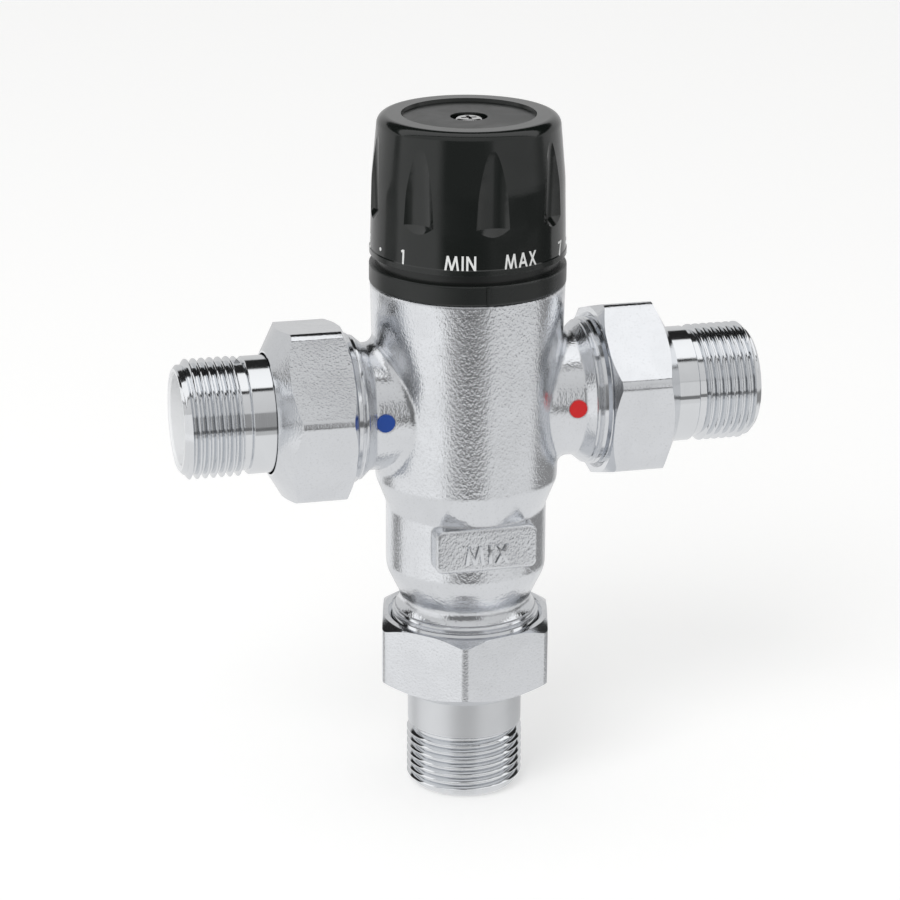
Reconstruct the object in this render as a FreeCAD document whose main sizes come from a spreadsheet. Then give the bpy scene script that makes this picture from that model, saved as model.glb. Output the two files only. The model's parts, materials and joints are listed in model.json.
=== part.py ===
"""Thermostatic mixing valve with three union connections, as a parametric FreeCAD document.

Frame: millimetres, +Z up, -Y the front, +X the hot side. The origin is the centre of the mixed
outlet's end face, so the valve stands on its outlet. Pieces of a connection are modelled along
their own +Z, which points outward from the centre of the valve, and are then placed on a port.
"""
import FreeCAD, Part

import math
import os

import Sketcher

SIZES = {
    # casting, heights and depths counted from the axis of the two inlets
    "inlet_height": 92.0,  # outlet's end face to the inlet axis
    "barrel_height": 27.6,
    "barrel_top_radius": 21.6,
    "barrel_taper": 1.2,
    "barrel_low_depth": 17.6,
    "barrel_low_blend": 4.0,
    "throat_step": 2.35,
    "throat_top_depth": 23.6,
    "throat_low_depth": 39.0,
    "throat_low_blend": 7.0,
    "waist_radius": 14.4,
    "waist_depth": 46.6,
    "waist_blend": 3.0,
    "neck_radius": 14.2,
    "neck_reach": 2.0,
    "collar_radius": 16.1,
    "collar_width": 1.2,
    "arm_blend": 2.0,
    "edge_break": 0.5,
    # raised pad on the front of the throat
    "pad_half_width": 11.5,
    "pad_height": 10.0,
    "pad_depth": 29.2,
    "pad_proud": 0.75,
    "pad_root": 8.0,
    "pad_corner": 1.8,
    "pad_blend": 0.7,
    # colour marks on the arms
    "mark_radius": 2.0,
    "mark_inset": 1.8,
    "mark_height": 0.4,
    "mark_recess": 0.8,
    # chambers and waterways
    "rim_wall": 3.1,
    "flange_seat_depth": 1.7,
    "flange_seat_width": 1.6,
    "bonnet_thread_length": 9.9,
    "thread_runout": 1.1,
    "hot_chamber_step": 0.8,
    "land_half_height": 3.2,
    "land_radius": 11.4,
    "hot_seat_depth": 12.5,
    "hot_seat_radius": 10.2,
    "hot_seat_width": 3.0,
    "outlet_bore_radius": 11.3,
    "port_bore_radius": 9.5,
    "port_bore_depth": 18.9,
    "cartridge_bore_radius": 10.3,
    "cartridge_depth": 15.5,
    "window_half_width": 6.0,
    "window_inner": 3.8,
    "window_outer": 7.8,
    "window_corner": 1.0,
    # unions
    "union_reach": 13.9,
    "tail_reach": 28.0,
    "outlet_face": 60.5,
    "union_thread_radius": 16.6,
    "union_thread_length": 10.5,
    "inlet_nut_engagement": 8.6,
    "outlet_nut_engagement": 10.0,
    "gasket_width": 2.0,
    "gasket_bore_radius": 9.5,
    "gasket_radius": 15.2,
    "tail_flange_radius": 15.0,
    "tail_flange_width": 3.0,
    "tail_radius": 13.0,
    "tail_bore_radius": 10.2,
    "tail_rim_radius": 11.4,
    "tail_rim_length": 1.9,
    "pipe_thread_radius": 13.22,
    "pipe_thread_length": 14.8,
    "nut_across_flats": 37.4,
    "nut_lip_width": 3.0,
    "nut_mouth_chamfer_start": 18.9,
    "nut_rim_radius": 13.9,
    "nut_mouth_break": 0.9,
    "nut_clearance": 0.1,
    "lip_clearance": 0.2,
    "face_clearance": 0.05,
    "cold_nut_turn": 38.0,
    "hot_nut_turn": 11.5,
    "outlet_nut_turn": 44.5,
    # knob and index ring
    "ring_proud": 0.15,
    "ring_bore_gap": 0.2,
    "ring_height": 4.5,
    "ring_groove_depth": 1.45,
    "ring_spigot_height": 1.9,
    "knob_gap": 0.3,
    "knob_height": 30.7,
    "knob_inset": 0.05,
    "knob_lip": 0.2,
    "knob_lip_height": 1.2,
    "knob_middle_taper": 0.55,
    "knob_middle_height": 17.0,
    "knob_middle_blend": 45.0,
    "knob_crown_taper": 1.8,
    "knob_crown_blend": 2.2,
    "knob_rim_width": 5.15,
    "knob_recess_depth": 0.75,
    "knob_wall": 2.1,
    "knob_draft": 1.5,
    "knob_web": 3.4,
    "hub_radius": 6.5,
    "hub_lift": 11.4,
    "knob_rib_width": 1.2,
    "knob_rib_height": 8.0,
    "flute_count": 8,
    "flute_axis_reach": 4.25,
    "flute_radius": 6.2,
    "flute_top_radius": 5.7,
    "flute_bottom": 10.0,
    "flute_top": 27.5,
    "flute_runout": 2.6,
    "screw_recess_radius": 4.1,
    "screw_recess_depth": 2.2,
    "screw_head_radius": 3.2,
    "screw_head_height": 2.0,
    "screw_radius": 2.0,
    "screw_length": 12.0,
    "cross_length": 3.4,
    "cross_width": 0.8,
    "cross_depth": 1.2,
    # headwork
    "knob_turn": 340.0,  # degrees from stop to stop
    "spindle_pitch": 1.5,
    "spindle_thread_radius": 4.95,
    "spindle_tip": 25.0,
    "collar_disc_radius": 6.9,
    "collar_disc_height": 2.0,
    "journal_radius": 4.5,
    "drive_radius": 4.0,
    "drive_half_width": 3.2,
    "drive_end_gap": 0.2,
    "running_clearance": 0.05,
    "washer_height": 0.8,
    "neck_outer_radius": 8.0,
    "neck_height": 6.0,
    "ceiling_height": 3.0,
    "housing_radius": 12.5,
    "bonnet_flange_gap": 0.2,
    "bonnet_flange_height": 2.0,
    "bonnet_hex_inset": 2.4,
    "bonnet_hex_height": 4.6,
    "bonnet_bore_radius": 9.8,
    "bonnet_nose_gap": 0.1,
    "seal_wire": 0.7,
    "small_seal_wire": 0.55,
    "circlip_width": 0.8,
    "circlip_depth": 0.6,
    "circlip_radius": 5.9,
    "key_width": 3.0,
    "key_radius": 11.2,
    "key_clearance": 0.1,
    # adjuster
    "cup_radius": 9.6,
    "cup_recess": 1.1,
    "cup_length": 16.1,
    "cup_nut_length": 5.5,
    "cup_wall": 1.4,
    "snap_ring_width": 0.9,
    "snap_ring_depth": 0.6,
    "snap_ring_lift": 1.1,
    "snap_ring_bore_radius": 6.8,
    "push_pad_height": 2.0,
    "overload_coil_radius": 6.4,
    "overload_wire": 0.6,
    "overload_turns": 3.0,
    # element and shuttle
    "element_stroke": 1.6,
    "travel_clearance": 0.1,
    "shuttle_radius": 11.3,
    "shuttle_bore_radius": 9.5,
    "cold_seat_depth": 14.9,
    "shuttle_seal_height": 10.8,
    "spoke_bottom": 6.8,
    "spoke_height": 5.5,
    "spoke_width": 2.0,
    "element_hub_radius": 6.9,
    "element_radius": 5.2,
    "element_length": 15.5,
    "element_flange_radius": 6.3,
    "element_flange_height": 3.5,
    "guide_radius": 3.2,
    "guide_height": 9.0,
    "pin_radius": 1.6,
    "pin_depth": 8.0,
    "return_coil_radius": 6.3,
    "return_wire": 0.6,
    "return_turns": 6.0,
    "spring_seat_depth": 35.0,
    "spring_seat_height": 3.0,
    "spring_seat_bore": 5.2,
    # check valves and strainers
    "cartridge_inset": 1.2,
    "cartridge_bore": 8.0,
    "cartridge_web": 1.8,
    "cartridge_hub_radius": 2.6,
    "cartridge_hub_height": 3.0,
    "stem_radius": 1.5,
    "web_hole_radius": 1.9,
    "web_hole_circle": 5.6,
    "web_hole_count": 6,
    "seat_web": 2.5,
    "seat_radius": 5.8,
    "check_groove": 6.0,
    "poppet_radius": 7.2,
    "poppet_height": 2.0,
    "poppet_nose_radius": 4.4,
    "poppet_seal_height": 1.0,
    "check_travel": 3.2,
    "stem_tip_gap": 0.6,
    "check_coil_radius": 3.5,
    "check_wire": 0.3,
    "check_turns": 4.0,
    "strainer_radius": 8.4,
    "strainer_height": 4.0,
    "strainer_wall": 0.5,
    "strainer_hole_radius": 1.0,
    "strainer_hole_circle": 5.2,
    "strainer_hole_count": 9,
}

HEX_CORNER = 1 / math.sqrt(3)  # corner radius of a hexagon for each millimetre across flats
WIRE_SIDES = 8
X, Y, Z = FreeCAD.Vector(1, 0, 0), FreeCAD.Vector(0, 1, 0), FreeCAD.Vector(0, 0, 1)

DOC = FreeCAD.newDocument("mixing_valve")
SUB_PARTS = []


class Size:
    """A number together with the spreadsheet expression that it comes from."""

    def __init__(self, value, text):
        self.value = value
        self.text = text

    def combine(self, sign, first, second):
        a, b = as_size(first), as_size(second)
        results = {"+": a.value + b.value, "-": a.value - b.value, "*": a.value * b.value}
        value = a.value / b.value if sign == "/" else results[sign]
        return Size(value, f"({a.text} {sign} {b.text})")

    def __add__(self, other):
        return self.combine("+", self, other)

    def __radd__(self, other):
        return self.combine("+", other, self)

    def __sub__(self, other):
        return self.combine("-", self, other)

    def __rsub__(self, other):
        return self.combine("-", other, self)

    def __mul__(self, other):
        return self.combine("*", self, other)

    def __rmul__(self, other):
        return self.combine("*", other, self)

    def __truediv__(self, other):
        return self.combine("/", self, other)

    def __neg__(self):
        return Size(-self.value, f"(-1 * {self.text})")


class Sheet:
    """The driving dimensions: sheet.NAME is the Size of the cell with that alias."""

    def __init__(self, sizes):
        self.page = DOC.addObject("Spreadsheet::Sheet", "Sizes")
        self.sizes = sizes
        for row, (alias, value) in enumerate(sizes.items(), start=1):
            self.page.set(f"A{row}", alias)
            self.page.set(f"B{row}", str(value))
            self.page.setAlias(f"B{row}", alias)
        DOC.recompute()

    def __getattr__(self, alias):
        return Size(self.sizes[alias], f"Sizes.{alias}")


def as_size(amount):
    return amount if isinstance(amount, Size) else Size(amount, repr(amount))


def bind(item, path, amount):
    """Drive one property of an object by a Size, or set it where the amount is a plain number."""
    size = as_size(amount)
    if "." not in path:
        setattr(item, path, size.value)
    if isinstance(amount, Size):
        item.setExpression(path, size.text)


# ---------------------------------------------------------------------------------------------
# sketches
# ---------------------------------------------------------------------------------------------


def new_body(label):
    body = DOC.addObject("PartDesign::Body", label)
    body.Label = label
    SUB_PARTS.append(body)
    return body


def origin_item(body, role):
    return next(item for item in body.Origin.OriginFeatures if item.Role == role)


def new_sketch(body, plane="XZ_Plane", offset=(0, 0, 0), turn=None):
    """A sketch on one of the body's planes, moved by offset in its own axes and turned in its plane."""
    sketch = body.newObject("Sketcher::SketchObject", "Sketch")
    sketch.AttachmentSupport = [(origin_item(body, plane), "")]
    sketch.MapMode = "FlatFace"
    base = FreeCAD.Vector(*(as_size(amount).value for amount in offset))
    angle = as_size(turn or 0)
    sketch.AttachmentOffset = FreeCAD.Placement(base, FreeCAD.Rotation(Z, angle.value))
    for letter, amount in zip("xyz", offset):
        if isinstance(amount, Size):
            sketch.setExpression(f".AttachmentOffset.Base.{letter}", amount.text)
    if isinstance(turn, Size):
        sketch.setExpression(".AttachmentOffset.Rotation.Angle", angle.text)
    return sketch


def tangent_arc(before, corner, after, radius):
    """The arc that rounds a corner: (arc, first point, last point, whether it turns to the left)."""
    back = (before - corner).normalize()
    ahead = (after - corner).normalize()
    half = back.getAngle(ahead) / 2
    first = corner + back * (radius / math.tan(half))
    last = corner + ahead * (radius / math.tan(half))
    centre = corner + (back + ahead).normalize() * (radius / math.sin(half))
    left = (corner - before).cross(after - corner).z > 0
    start, end = (first, last) if left else (last, first)
    angles = [math.atan2(point.y - centre.y, point.x - centre.x) for point in (start, end)]
    return Part.ArcOfCircle(Part.Circle(centre, Z, radius), *angles), first, last, left


def draw_outline(sketch, corners):
    """Draw a closed outline of straight lines, with every corner placed from the sheet.

    A corner is (across, along), or (across, along, radius) where it is rounded by a tangent arc.
    """
    places = [FreeCAD.Vector(as_size(c[0]).value, as_size(c[1]).value, 0) for c in corners]
    count = len(corners)
    starts, ends, arcs = list(places), list(places), {}
    for i, corner in enumerate(corners):
        if len(corner) == 3:
            radius = as_size(corner[2]).value
            arc, ends[i], starts[i], left = tangent_arc(
                places[i - 1], places[i], places[(i + 1) % count], radius
            )
            arcs[i] = (arc, left)
    for i in range(count):
        sketch.addGeometry(Part.LineSegment(starts[i], ends[(i + 1) % count]), False)
    rules, drivers = [], []
    for i, corner in enumerate(corners):
        line_in, line_out = (i - 1) % count, i
        if i in arcs:
            arc, left = arcs[i]
            arc_number = sketch.addGeometry(arc, False)
            anchor = (sketch.addGeometry(Part.Point(places[i]), True), 1)
            first, last = (1, 2) if left else (2, 1)
            rules.append(Sketcher.Constraint("Tangent", line_in, 2, arc_number, first))
            rules.append(Sketcher.Constraint("Tangent", line_out, 1, arc_number, last))
            rules.append(Sketcher.Constraint("PointOnObject", anchor[0], 1, line_in))
            rules.append(Sketcher.Constraint("PointOnObject", anchor[0], 1, line_out))
            drivers.append((len(rules), corner[2]))
            rules.append(Sketcher.Constraint("Radius", arc_number, as_size(corner[2]).value))
        else:
            anchor = (line_out, 1)
            rules.append(Sketcher.Constraint("Coincident", line_in, 2, line_out, 1))
        for kind, amount, axis in (("DistanceX", corner[0], -2), ("DistanceY", corner[1], -1)):
            if isinstance(amount, Size):
                drivers.append((len(rules), amount))
                rules.append(Sketcher.Constraint(kind, -1, 1, *anchor, amount.value))
            else:
                rules.append(Sketcher.Constraint("PointOnObject", *anchor, axis))
    sketch.addConstraint(rules)
    for number, amount in drivers:
        if isinstance(amount, Size):
            sketch.setExpression(f"Constraints[{number}]", amount.text)


def draw_circle(sketch, radius, centre=(0, 0)):
    place = FreeCAD.Vector(as_size(centre[0]).value, as_size(centre[1]).value, 0)
    circle = sketch.addGeometry(Part.Circle(place, Z, radius.value), False)
    for kind, amount, axis in (("DistanceX", centre[0], -2), ("DistanceY", centre[1], -1)):
        if isinstance(amount, Size):
            number = sketch.addConstraint(Sketcher.Constraint(kind, -1, 1, circle, 3, amount.value))
            sketch.setExpression(f"Constraints[{number}]", amount.text)
        else:
            sketch.addConstraint(Sketcher.Constraint("PointOnObject", circle, 3, axis))
    number = sketch.addConstraint(Sketcher.Constraint("Radius", circle, radius.value))
    sketch.setExpression(f"Constraints[{number}]", radius.text)


def rectangle(half_width, half_height, corner=None):
    """Corners of a rectangle about the sketch's origin."""
    places = [
        (-half_width, -half_height),
        (half_width, -half_height),
        (half_width, half_height),
        (-half_width, half_height),
    ]
    return [place + (corner,) for place in places] if corner else places


def hexagon(across_flats):
    corner = across_flats * HEX_CORNER
    flat = across_flats / 2
    return [
        (corner, 0),
        (corner / 2, flat),
        (-corner / 2, flat),
        (-corner, 0),
        (-corner / 2, -flat),
        (corner / 2, -flat),
    ]


# ---------------------------------------------------------------------------------------------
# features
# ---------------------------------------------------------------------------------------------


def volume(body):
    return 0.0 if body.Shape.isNull() else body.Shape.Volume


def finish(body, feature, before):
    """Recompute, and make sure that the feature changed the body."""
    DOC.recompute()
    if abs(volume(body) - before) < 1e-6:
        raise RuntimeError(f"{feature.Name} changed nothing in {body.Label}")
    return feature


def revolve(body, corners, cut=False, axis="V_Axis", **place):
    """Turn an outline of (across, along) corners about an axis of its sketch."""
    before = volume(body)
    sketch = new_sketch(body, **place)
    draw_outline(sketch, corners)
    feature = body.newObject("PartDesign::Groove" if cut else "PartDesign::Revolution", "Turned")
    feature.Profile = sketch
    feature.ReferenceAxis = (sketch, [axis])
    feature.Angle = 360
    return finish(body, feature, before)


def extrude(body, sketch, length, cut=False, backwards=False):
    """Pad a sketch along its normal, or pocket it, against the normal where backwards is set."""
    before = volume(body)
    feature = body.newObject("PartDesign::Pocket" if cut else "PartDesign::Pad", "Extruded")
    feature.Profile = sketch
    bind(feature, "Length", length)
    feature.Reversed = backwards != cut
    return finish(body, feature, before)


def repeat_round(body, feature, count, axis="Z_Axis"):
    before = volume(body)
    pattern = body.newObject("PartDesign::PolarPattern", "Pattern")
    pattern.Originals = [feature]
    pattern.Axis = (origin_item(body, axis), [""])
    pattern.Angle = 360
    bind(pattern, "Occurrences", count)
    body.Tip = pattern
    return finish(body, pattern, before)


def mirror(body, feature, plane="YZ_Plane"):
    before = volume(body)
    mirrored = body.newObject("PartDesign::Mirrored", "Mirrored")
    mirrored.Originals = [feature]
    mirrored.MirrorPlane = (origin_item(body, plane), [""])
    body.Tip = mirrored
    return finish(body, mirrored, before)


def round_edges(body, feature, radius, wanted):
    """Fillet those edges of a feature for which wanted(edge) is true."""
    before = volume(body)
    names = [f"Edge{i}" for i, edge in enumerate(feature.Shape.Edges, start=1) if wanted(edge)]
    fillet = body.newObject("PartDesign::Fillet", "Fillet")
    fillet.Base = (feature, names)
    bind(fillet, "Radius", radius)
    return finish(body, fillet, before)


def turned_part(label, corners, port=None):
    body = new_body(label)
    revolve(body, corners)
    place_on_port(body, port)
    return body


def ring(label, bore, radius, bottom, top, port=None):
    """A plain ring of rectangular section."""
    return turned_part(label, [(bore, bottom), (radius, bottom), (radius, top), (bore, top)], port)


def o_ring(label, inner_radius, wire, height, port=None):
    """A torus of the given wire radius that lies on inner_radius at one height."""
    torus = DOC.addObject("Part::Torus", label)
    torus.Label = label
    bind(torus, "Radius1", inner_radius + wire)
    bind(torus, "Radius2", wire)
    SUB_PARTS.append(torus)
    place_on_port(torus, port, height)
    return torus


def coil_spring(label, coil_radius, wire, bottom, top, turns, port=None):
    """A wire of eight narrow flats swept along a helix between two seats."""
    height = top - bottom - wire * 2
    path = DOC.addObject("Part::Helix", label + "_path")
    bind(path, "Radius", coil_radius)
    bind(path, "Height", height)
    bind(path, "Pitch", height / turns)
    section = DOC.addObject("Part::RegularPolygon", label + "_section")
    section.Polygon = WIRE_SIDES
    bind(section, "Circumradius", wire)
    section.Placement = FreeCAD.Placement(X * coil_radius.value, FreeCAD.Rotation(X, 90))
    section.setExpression(".Placement.Base.x", coil_radius.text)
    spring = DOC.addObject("Part::Sweep", label)
    spring.Label = label
    spring.Sections = [section]
    spring.Spine = (path, ["Edge1"])
    spring.Solid = True
    spring.Frenet = True
    SUB_PARTS.append(spring)
    place_on_port(spring, port, bottom + wire)
    return spring


# Each port: the turn that lays the local +Z along its outward direction.
PORTS = {
    "cold": FreeCAD.Rotation(Y, -90),
    "hot": FreeCAD.Rotation(Y, 90),
    "outlet": FreeCAD.Rotation(X, 180),
}


def place_on_port(item, port=None, height=0):
    """Place a sub-part: upright at a height, or outward on a port at a distance from the centre."""
    distance = as_size(height)
    if port is None:
        item.Placement = FreeCAD.Placement(Z * distance.value, FreeCAD.Rotation())
        bind(item, ".Placement.Base.z", height)
        return
    turn = PORTS[port]
    outward = turn.multVec(Z)
    centre = Z * sheet.inlet_height.value
    item.Placement = FreeCAD.Placement(centre + outward * distance.value, turn)
    sign = round(outward.x)
    if sign and isinstance(height, Size):
        bind(item, ".Placement.Base.x", height * sign)
    drop = height if not sign else 0
    bind(item, ".Placement.Base.z", sheet.inlet_height - drop)


# ---------------------------------------------------------------------------------------------
# levels that several pieces share
# ---------------------------------------------------------------------------------------------

sheet = Sheet(SIZES)

BARREL_LOW_RADIUS = sheet.barrel_top_radius - sheet.barrel_taper
THROAT_RADIUS = BARREL_LOW_RADIUS - sheet.throat_step
PAD_FRONT = THROAT_RADIUS + sheet.pad_proud
FLANGE_SEAT_RADIUS = sheet.barrel_top_radius - sheet.rim_wall
BONNET_THREAD_RADIUS = FLANGE_SEAT_RADIUS - sheet.flange_seat_width
COLD_CHAMBER_RADIUS = BONNET_THREAD_RADIUS - sheet.thread_runout
HOT_CHAMBER_RADIUS = COLD_CHAMBER_RADIUS - sheet.hot_chamber_step
BONNET_FLANGE_RADIUS = FLANGE_SEAT_RADIUS - sheet.bonnet_flange_gap
BONNET_NOSE_RADIUS = COLD_CHAMBER_RADIUS - sheet.bonnet_nose_gap
BONNET_HEX = (BONNET_THREAD_RADIUS - sheet.bonnet_hex_inset) * 2

RING_RADIUS = sheet.barrel_top_radius + sheet.ring_proud
RING_SPIGOT_RADIUS = RING_RADIUS - sheet.ring_groove_depth
RING_BORE_RADIUS = FLANGE_SEAT_RADIUS + sheet.ring_bore_gap
KNOB_RADIUS = RING_RADIUS - sheet.knob_inset
KNOB_MIDDLE_RADIUS = KNOB_RADIUS - sheet.knob_middle_taper
KNOB_CROWN_RADIUS = KNOB_RADIUS - sheet.knob_crown_taper
KNOB_RECESS_RADIUS = KNOB_CROWN_RADIUS - sheet.knob_rim_width
FLUTE_AXIS_RADIUS = KNOB_RADIUS + sheet.flute_axis_reach

NECK_END = sheet.barrel_top_radius + sheet.neck_reach
MARK_OFFSET = NECK_END - sheet.mark_inset
INLET_FACE = NECK_END + sheet.union_reach
INLET_REACH = INLET_FACE + sheet.tail_reach
CARTRIDGE_END = INLET_FACE - sheet.cartridge_inset
CARTRIDGE_BOTTOM = INLET_FACE - sheet.cartridge_depth
PORT_BORE_BOTTOM = INLET_FACE - sheet.port_bore_depth

INLET_AXIS = sheet.inlet_height
CASTING_TOP = INLET_AXIS + sheet.barrel_height
OUTLET_FACE = INLET_AXIS - sheet.outlet_face
FLANGE_SEAT = CASTING_TOP - sheet.flange_seat_depth
THREAD_BOTTOM = FLANGE_SEAT - sheet.bonnet_thread_length
HOT_SEAT = INLET_AXIS - sheet.hot_seat_depth

KNOB_TRAVEL = sheet.spindle_pitch * sheet.knob_turn / 360
SHUTTLE_BOTTOM = HOT_SEAT + sheet.element_stroke + sheet.travel_clearance
COLD_SEAT = CASTING_TOP - sheet.cold_seat_depth
SHUTTLE_TOP = COLD_SEAT - KNOB_TRAVEL - sheet.travel_clearance

CUP_BOTTOM = COLD_SEAT + sheet.cup_recess
CUP_TOP = CUP_BOTTOM + sheet.cup_length
CUP_CEILING = CUP_TOP - sheet.cup_nut_length
PUSH_PAD_BOTTOM = CUP_BOTTOM + sheet.snap_ring_lift + sheet.snap_ring_width
COLLAR_BOTTOM = CUP_TOP + KNOB_TRAVEL + sheet.travel_clearance
COLLAR_TOP = COLLAR_BOTTOM + sheet.collar_disc_height
BONNET_CEILING = COLLAR_TOP + sheet.washer_height + sheet.running_clearance
HOUSING_TOP = BONNET_CEILING + sheet.ceiling_height
NECK_TOP = HOUSING_TOP + sheet.neck_height

RING_STEP = CASTING_TOP + sheet.ring_height
RING_TOP = RING_STEP + sheet.ring_spigot_height
KNOB_BOTTOM = RING_TOP + sheet.knob_gap
KNOB_TOP = KNOB_BOTTOM + sheet.knob_height
KNOB_FLOOR = KNOB_TOP - sheet.knob_recess_depth
SCREW_SEAT = KNOB_FLOOR - sheet.screw_recess_depth
WEB_BOTTOM = KNOB_TOP - sheet.knob_recess_depth - sheet.knob_web
HUB_BOTTOM = KNOB_BOTTOM + sheet.hub_lift
DRIVE_TOP = WEB_BOTTOM - sheet.drive_end_gap

SPOKE_BOTTOM = SHUTTLE_BOTTOM + sheet.spoke_bottom
SPOKE_TOP = SPOKE_BOTTOM + sheet.spoke_height
SHUTTLE_SEAL_MIDDLE = SHUTTLE_BOTTOM + sheet.shuttle_seal_height
GUIDE_TOP = SPOKE_TOP + sheet.element_flange_height + sheet.guide_height
SPRING_SEAT_TOP = INLET_AXIS - sheet.spring_seat_depth

GASKET_OFFSET = sheet.gasket_width
CHECK_SEAT = CARTRIDGE_END - sheet.seat_web
POPPET_FACE = CHECK_SEAT - sheet.poppet_seal_height
POPPET_BACK = POPPET_FACE - sheet.poppet_height
STEM_END = PORT_BORE_BOTTOM + sheet.check_travel + sheet.stem_tip_gap


# ---------------------------------------------------------------------------------------------
# casting
# ---------------------------------------------------------------------------------------------


def barrel_outline():
    """Outside of the casting about the vertical axis, from the outlet's union thread to the top."""
    h, c = INLET_AXIS, sheet.edge_break
    thread_end = OUTLET_FACE + sheet.union_thread_length
    return [
        (0, OUTLET_FACE),
        (sheet.union_thread_radius - c, OUTLET_FACE),
        (sheet.union_thread_radius, OUTLET_FACE + c),
        (sheet.union_thread_radius, thread_end),
        (sheet.collar_radius, thread_end),
        (sheet.collar_radius, thread_end + sheet.collar_width),
        (sheet.waist_radius, h - sheet.waist_depth, sheet.waist_blend),
        (THROAT_RADIUS, h - sheet.throat_low_depth, sheet.throat_low_blend),
        (THROAT_RADIUS, h - sheet.throat_top_depth, sheet.barrel_low_blend),
        (BARREL_LOW_RADIUS, h - sheet.barrel_low_depth, sheet.barrel_low_blend),
        (sheet.barrel_top_radius, CASTING_TOP, c),
        (0, CASTING_TOP),
    ]


def arm_outline():
    """Outside of one inlet arm as (along, across) about the inlet axis, with its union thread."""
    c = sheet.edge_break
    thread_start = INLET_FACE - sheet.union_thread_length
    return [
        (0, 0),
        (INLET_FACE, 0),
        (INLET_FACE, sheet.union_thread_radius - c),
        (INLET_FACE - c, sheet.union_thread_radius),
        (thread_start, sheet.union_thread_radius),
        (thread_start, sheet.collar_radius),
        (thread_start - sheet.collar_width, sheet.collar_radius),
        (NECK_END, sheet.neck_radius, sheet.edge_break),
        (0, sheet.neck_radius),
    ]


def chamber_outline():
    """Everything bored from above and below: bonnet thread, both chambers, land, seat, outlet."""
    h = INLET_AXIS
    land_top, land_bottom = h + sheet.land_half_height, h - sheet.land_half_height
    seat_bottom = HOT_SEAT - sheet.hot_seat_width
    return [
        (0, CASTING_TOP),
        (FLANGE_SEAT_RADIUS, CASTING_TOP),
        (FLANGE_SEAT_RADIUS, FLANGE_SEAT),
        (BONNET_THREAD_RADIUS, FLANGE_SEAT),
        (BONNET_THREAD_RADIUS, THREAD_BOTTOM),
        (COLD_CHAMBER_RADIUS, THREAD_BOTTOM),
        (COLD_CHAMBER_RADIUS, land_top),
        (sheet.land_radius, land_top),
        (sheet.land_radius, land_bottom),
        (HOT_CHAMBER_RADIUS, land_bottom),
        (HOT_CHAMBER_RADIUS, HOT_SEAT),
        (sheet.hot_seat_radius, HOT_SEAT),
        (sheet.hot_seat_radius, seat_bottom),
        (sheet.outlet_bore_radius, seat_bottom),
        (sheet.outlet_bore_radius, OUTLET_FACE),
        (0, OUTLET_FACE),
    ]


def port_outline():
    """Counterbore for the check valve and the port bore behind it, as (along, across)."""
    return [
        (PORT_BORE_BOTTOM, 0),
        (INLET_FACE, 0),
        (INLET_FACE, sheet.cartridge_bore_radius),
        (CARTRIDGE_BOTTOM, sheet.cartridge_bore_radius),
        (CARTRIDGE_BOTTOM, sheet.port_bore_radius),
        (PORT_BORE_BOTTOM, sheet.port_bore_radius),
    ]


def is_arm_joint(edge):
    """True for the curves in which an arm meets the barrel."""
    box = edge.BoundBox
    plain = isinstance(edge.Curve, (Part.Circle, Part.Line))
    across = abs(box.Center.x)
    return not plain and 0 < across < sheet.barrel_top_radius.value and box.YLength > 1


def is_pad_rim(edge):
    """True for the edges of the raised pad's front face."""
    return edge.BoundBox.YMax < -PAD_FRONT.value + 0.01


def build_casting():
    body = new_body("valve_body")
    revolve(body, barrel_outline())
    arms = (0, INLET_AXIS, 0)
    arm = revolve(body, arm_outline(), axis="H_Axis", offset=arms)
    both_arms = mirror(body, arm)
    round_edges(body, both_arms, sheet.arm_blend, is_arm_joint)

    sketch = new_sketch(body, offset=(0, INLET_AXIS - sheet.pad_depth, PAD_FRONT))
    draw_outline(sketch, rectangle(sheet.pad_half_width, sheet.pad_height / 2, sheet.pad_corner))
    raised = extrude(body, sketch, sheet.pad_root, backwards=True)
    round_edges(body, raised, sheet.pad_blend, is_pad_rim)

    revolve(body, chamber_outline(), cut=True)
    port = revolve(body, port_outline(), cut=True, axis="H_Axis", offset=arms)
    mirror(body, port)
    # The cold window opens above the land and the hot one below it.
    for side, level in ((-1, 1), (1, -1)):
        middle = (sheet.window_inner + sheet.window_outer) / 2
        place = (0, INLET_AXIS + middle * level, sheet.land_radius * side)
        sketch = new_sketch(body, plane="YZ_Plane", offset=place)
        half_height = (sheet.window_outer - sheet.window_inner) / 2
        draw_outline(
            sketch, rectangle(sheet.window_half_width, half_height, sheet.window_corner)
        )
        depth = PORT_BORE_BOTTOM - sheet.land_radius + sheet.edge_break
        extrude(body, sketch, depth, cut=True, backwards=side < 0)
        front = sheet.neck_radius + sheet.mark_recess
        place = (MARK_OFFSET * side, INLET_AXIS + sheet.mark_height, front)
        sketch = new_sketch(body, offset=place)
        draw_circle(sketch, sheet.mark_radius)
        extrude(body, sketch, sheet.mark_recess * 2, cut=True, backwards=True)
    return body


def build_marks():
    """Round coloured inserts that fill the recesses on the front of the arms."""
    for label, side in (("cold_dot", -1), ("hot_dot", 1)):
        body = new_body(label)
        front = sheet.neck_radius + sheet.running_clearance
        place = (MARK_OFFSET * side, INLET_AXIS + sheet.mark_height, front)
        sketch = new_sketch(body, offset=place)
        draw_circle(sketch, sheet.mark_radius)
        extrude(body, sketch, sheet.mark_recess + sheet.running_clearance, backwards=True)


# ---------------------------------------------------------------------------------------------
# unions
# ---------------------------------------------------------------------------------------------


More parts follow.
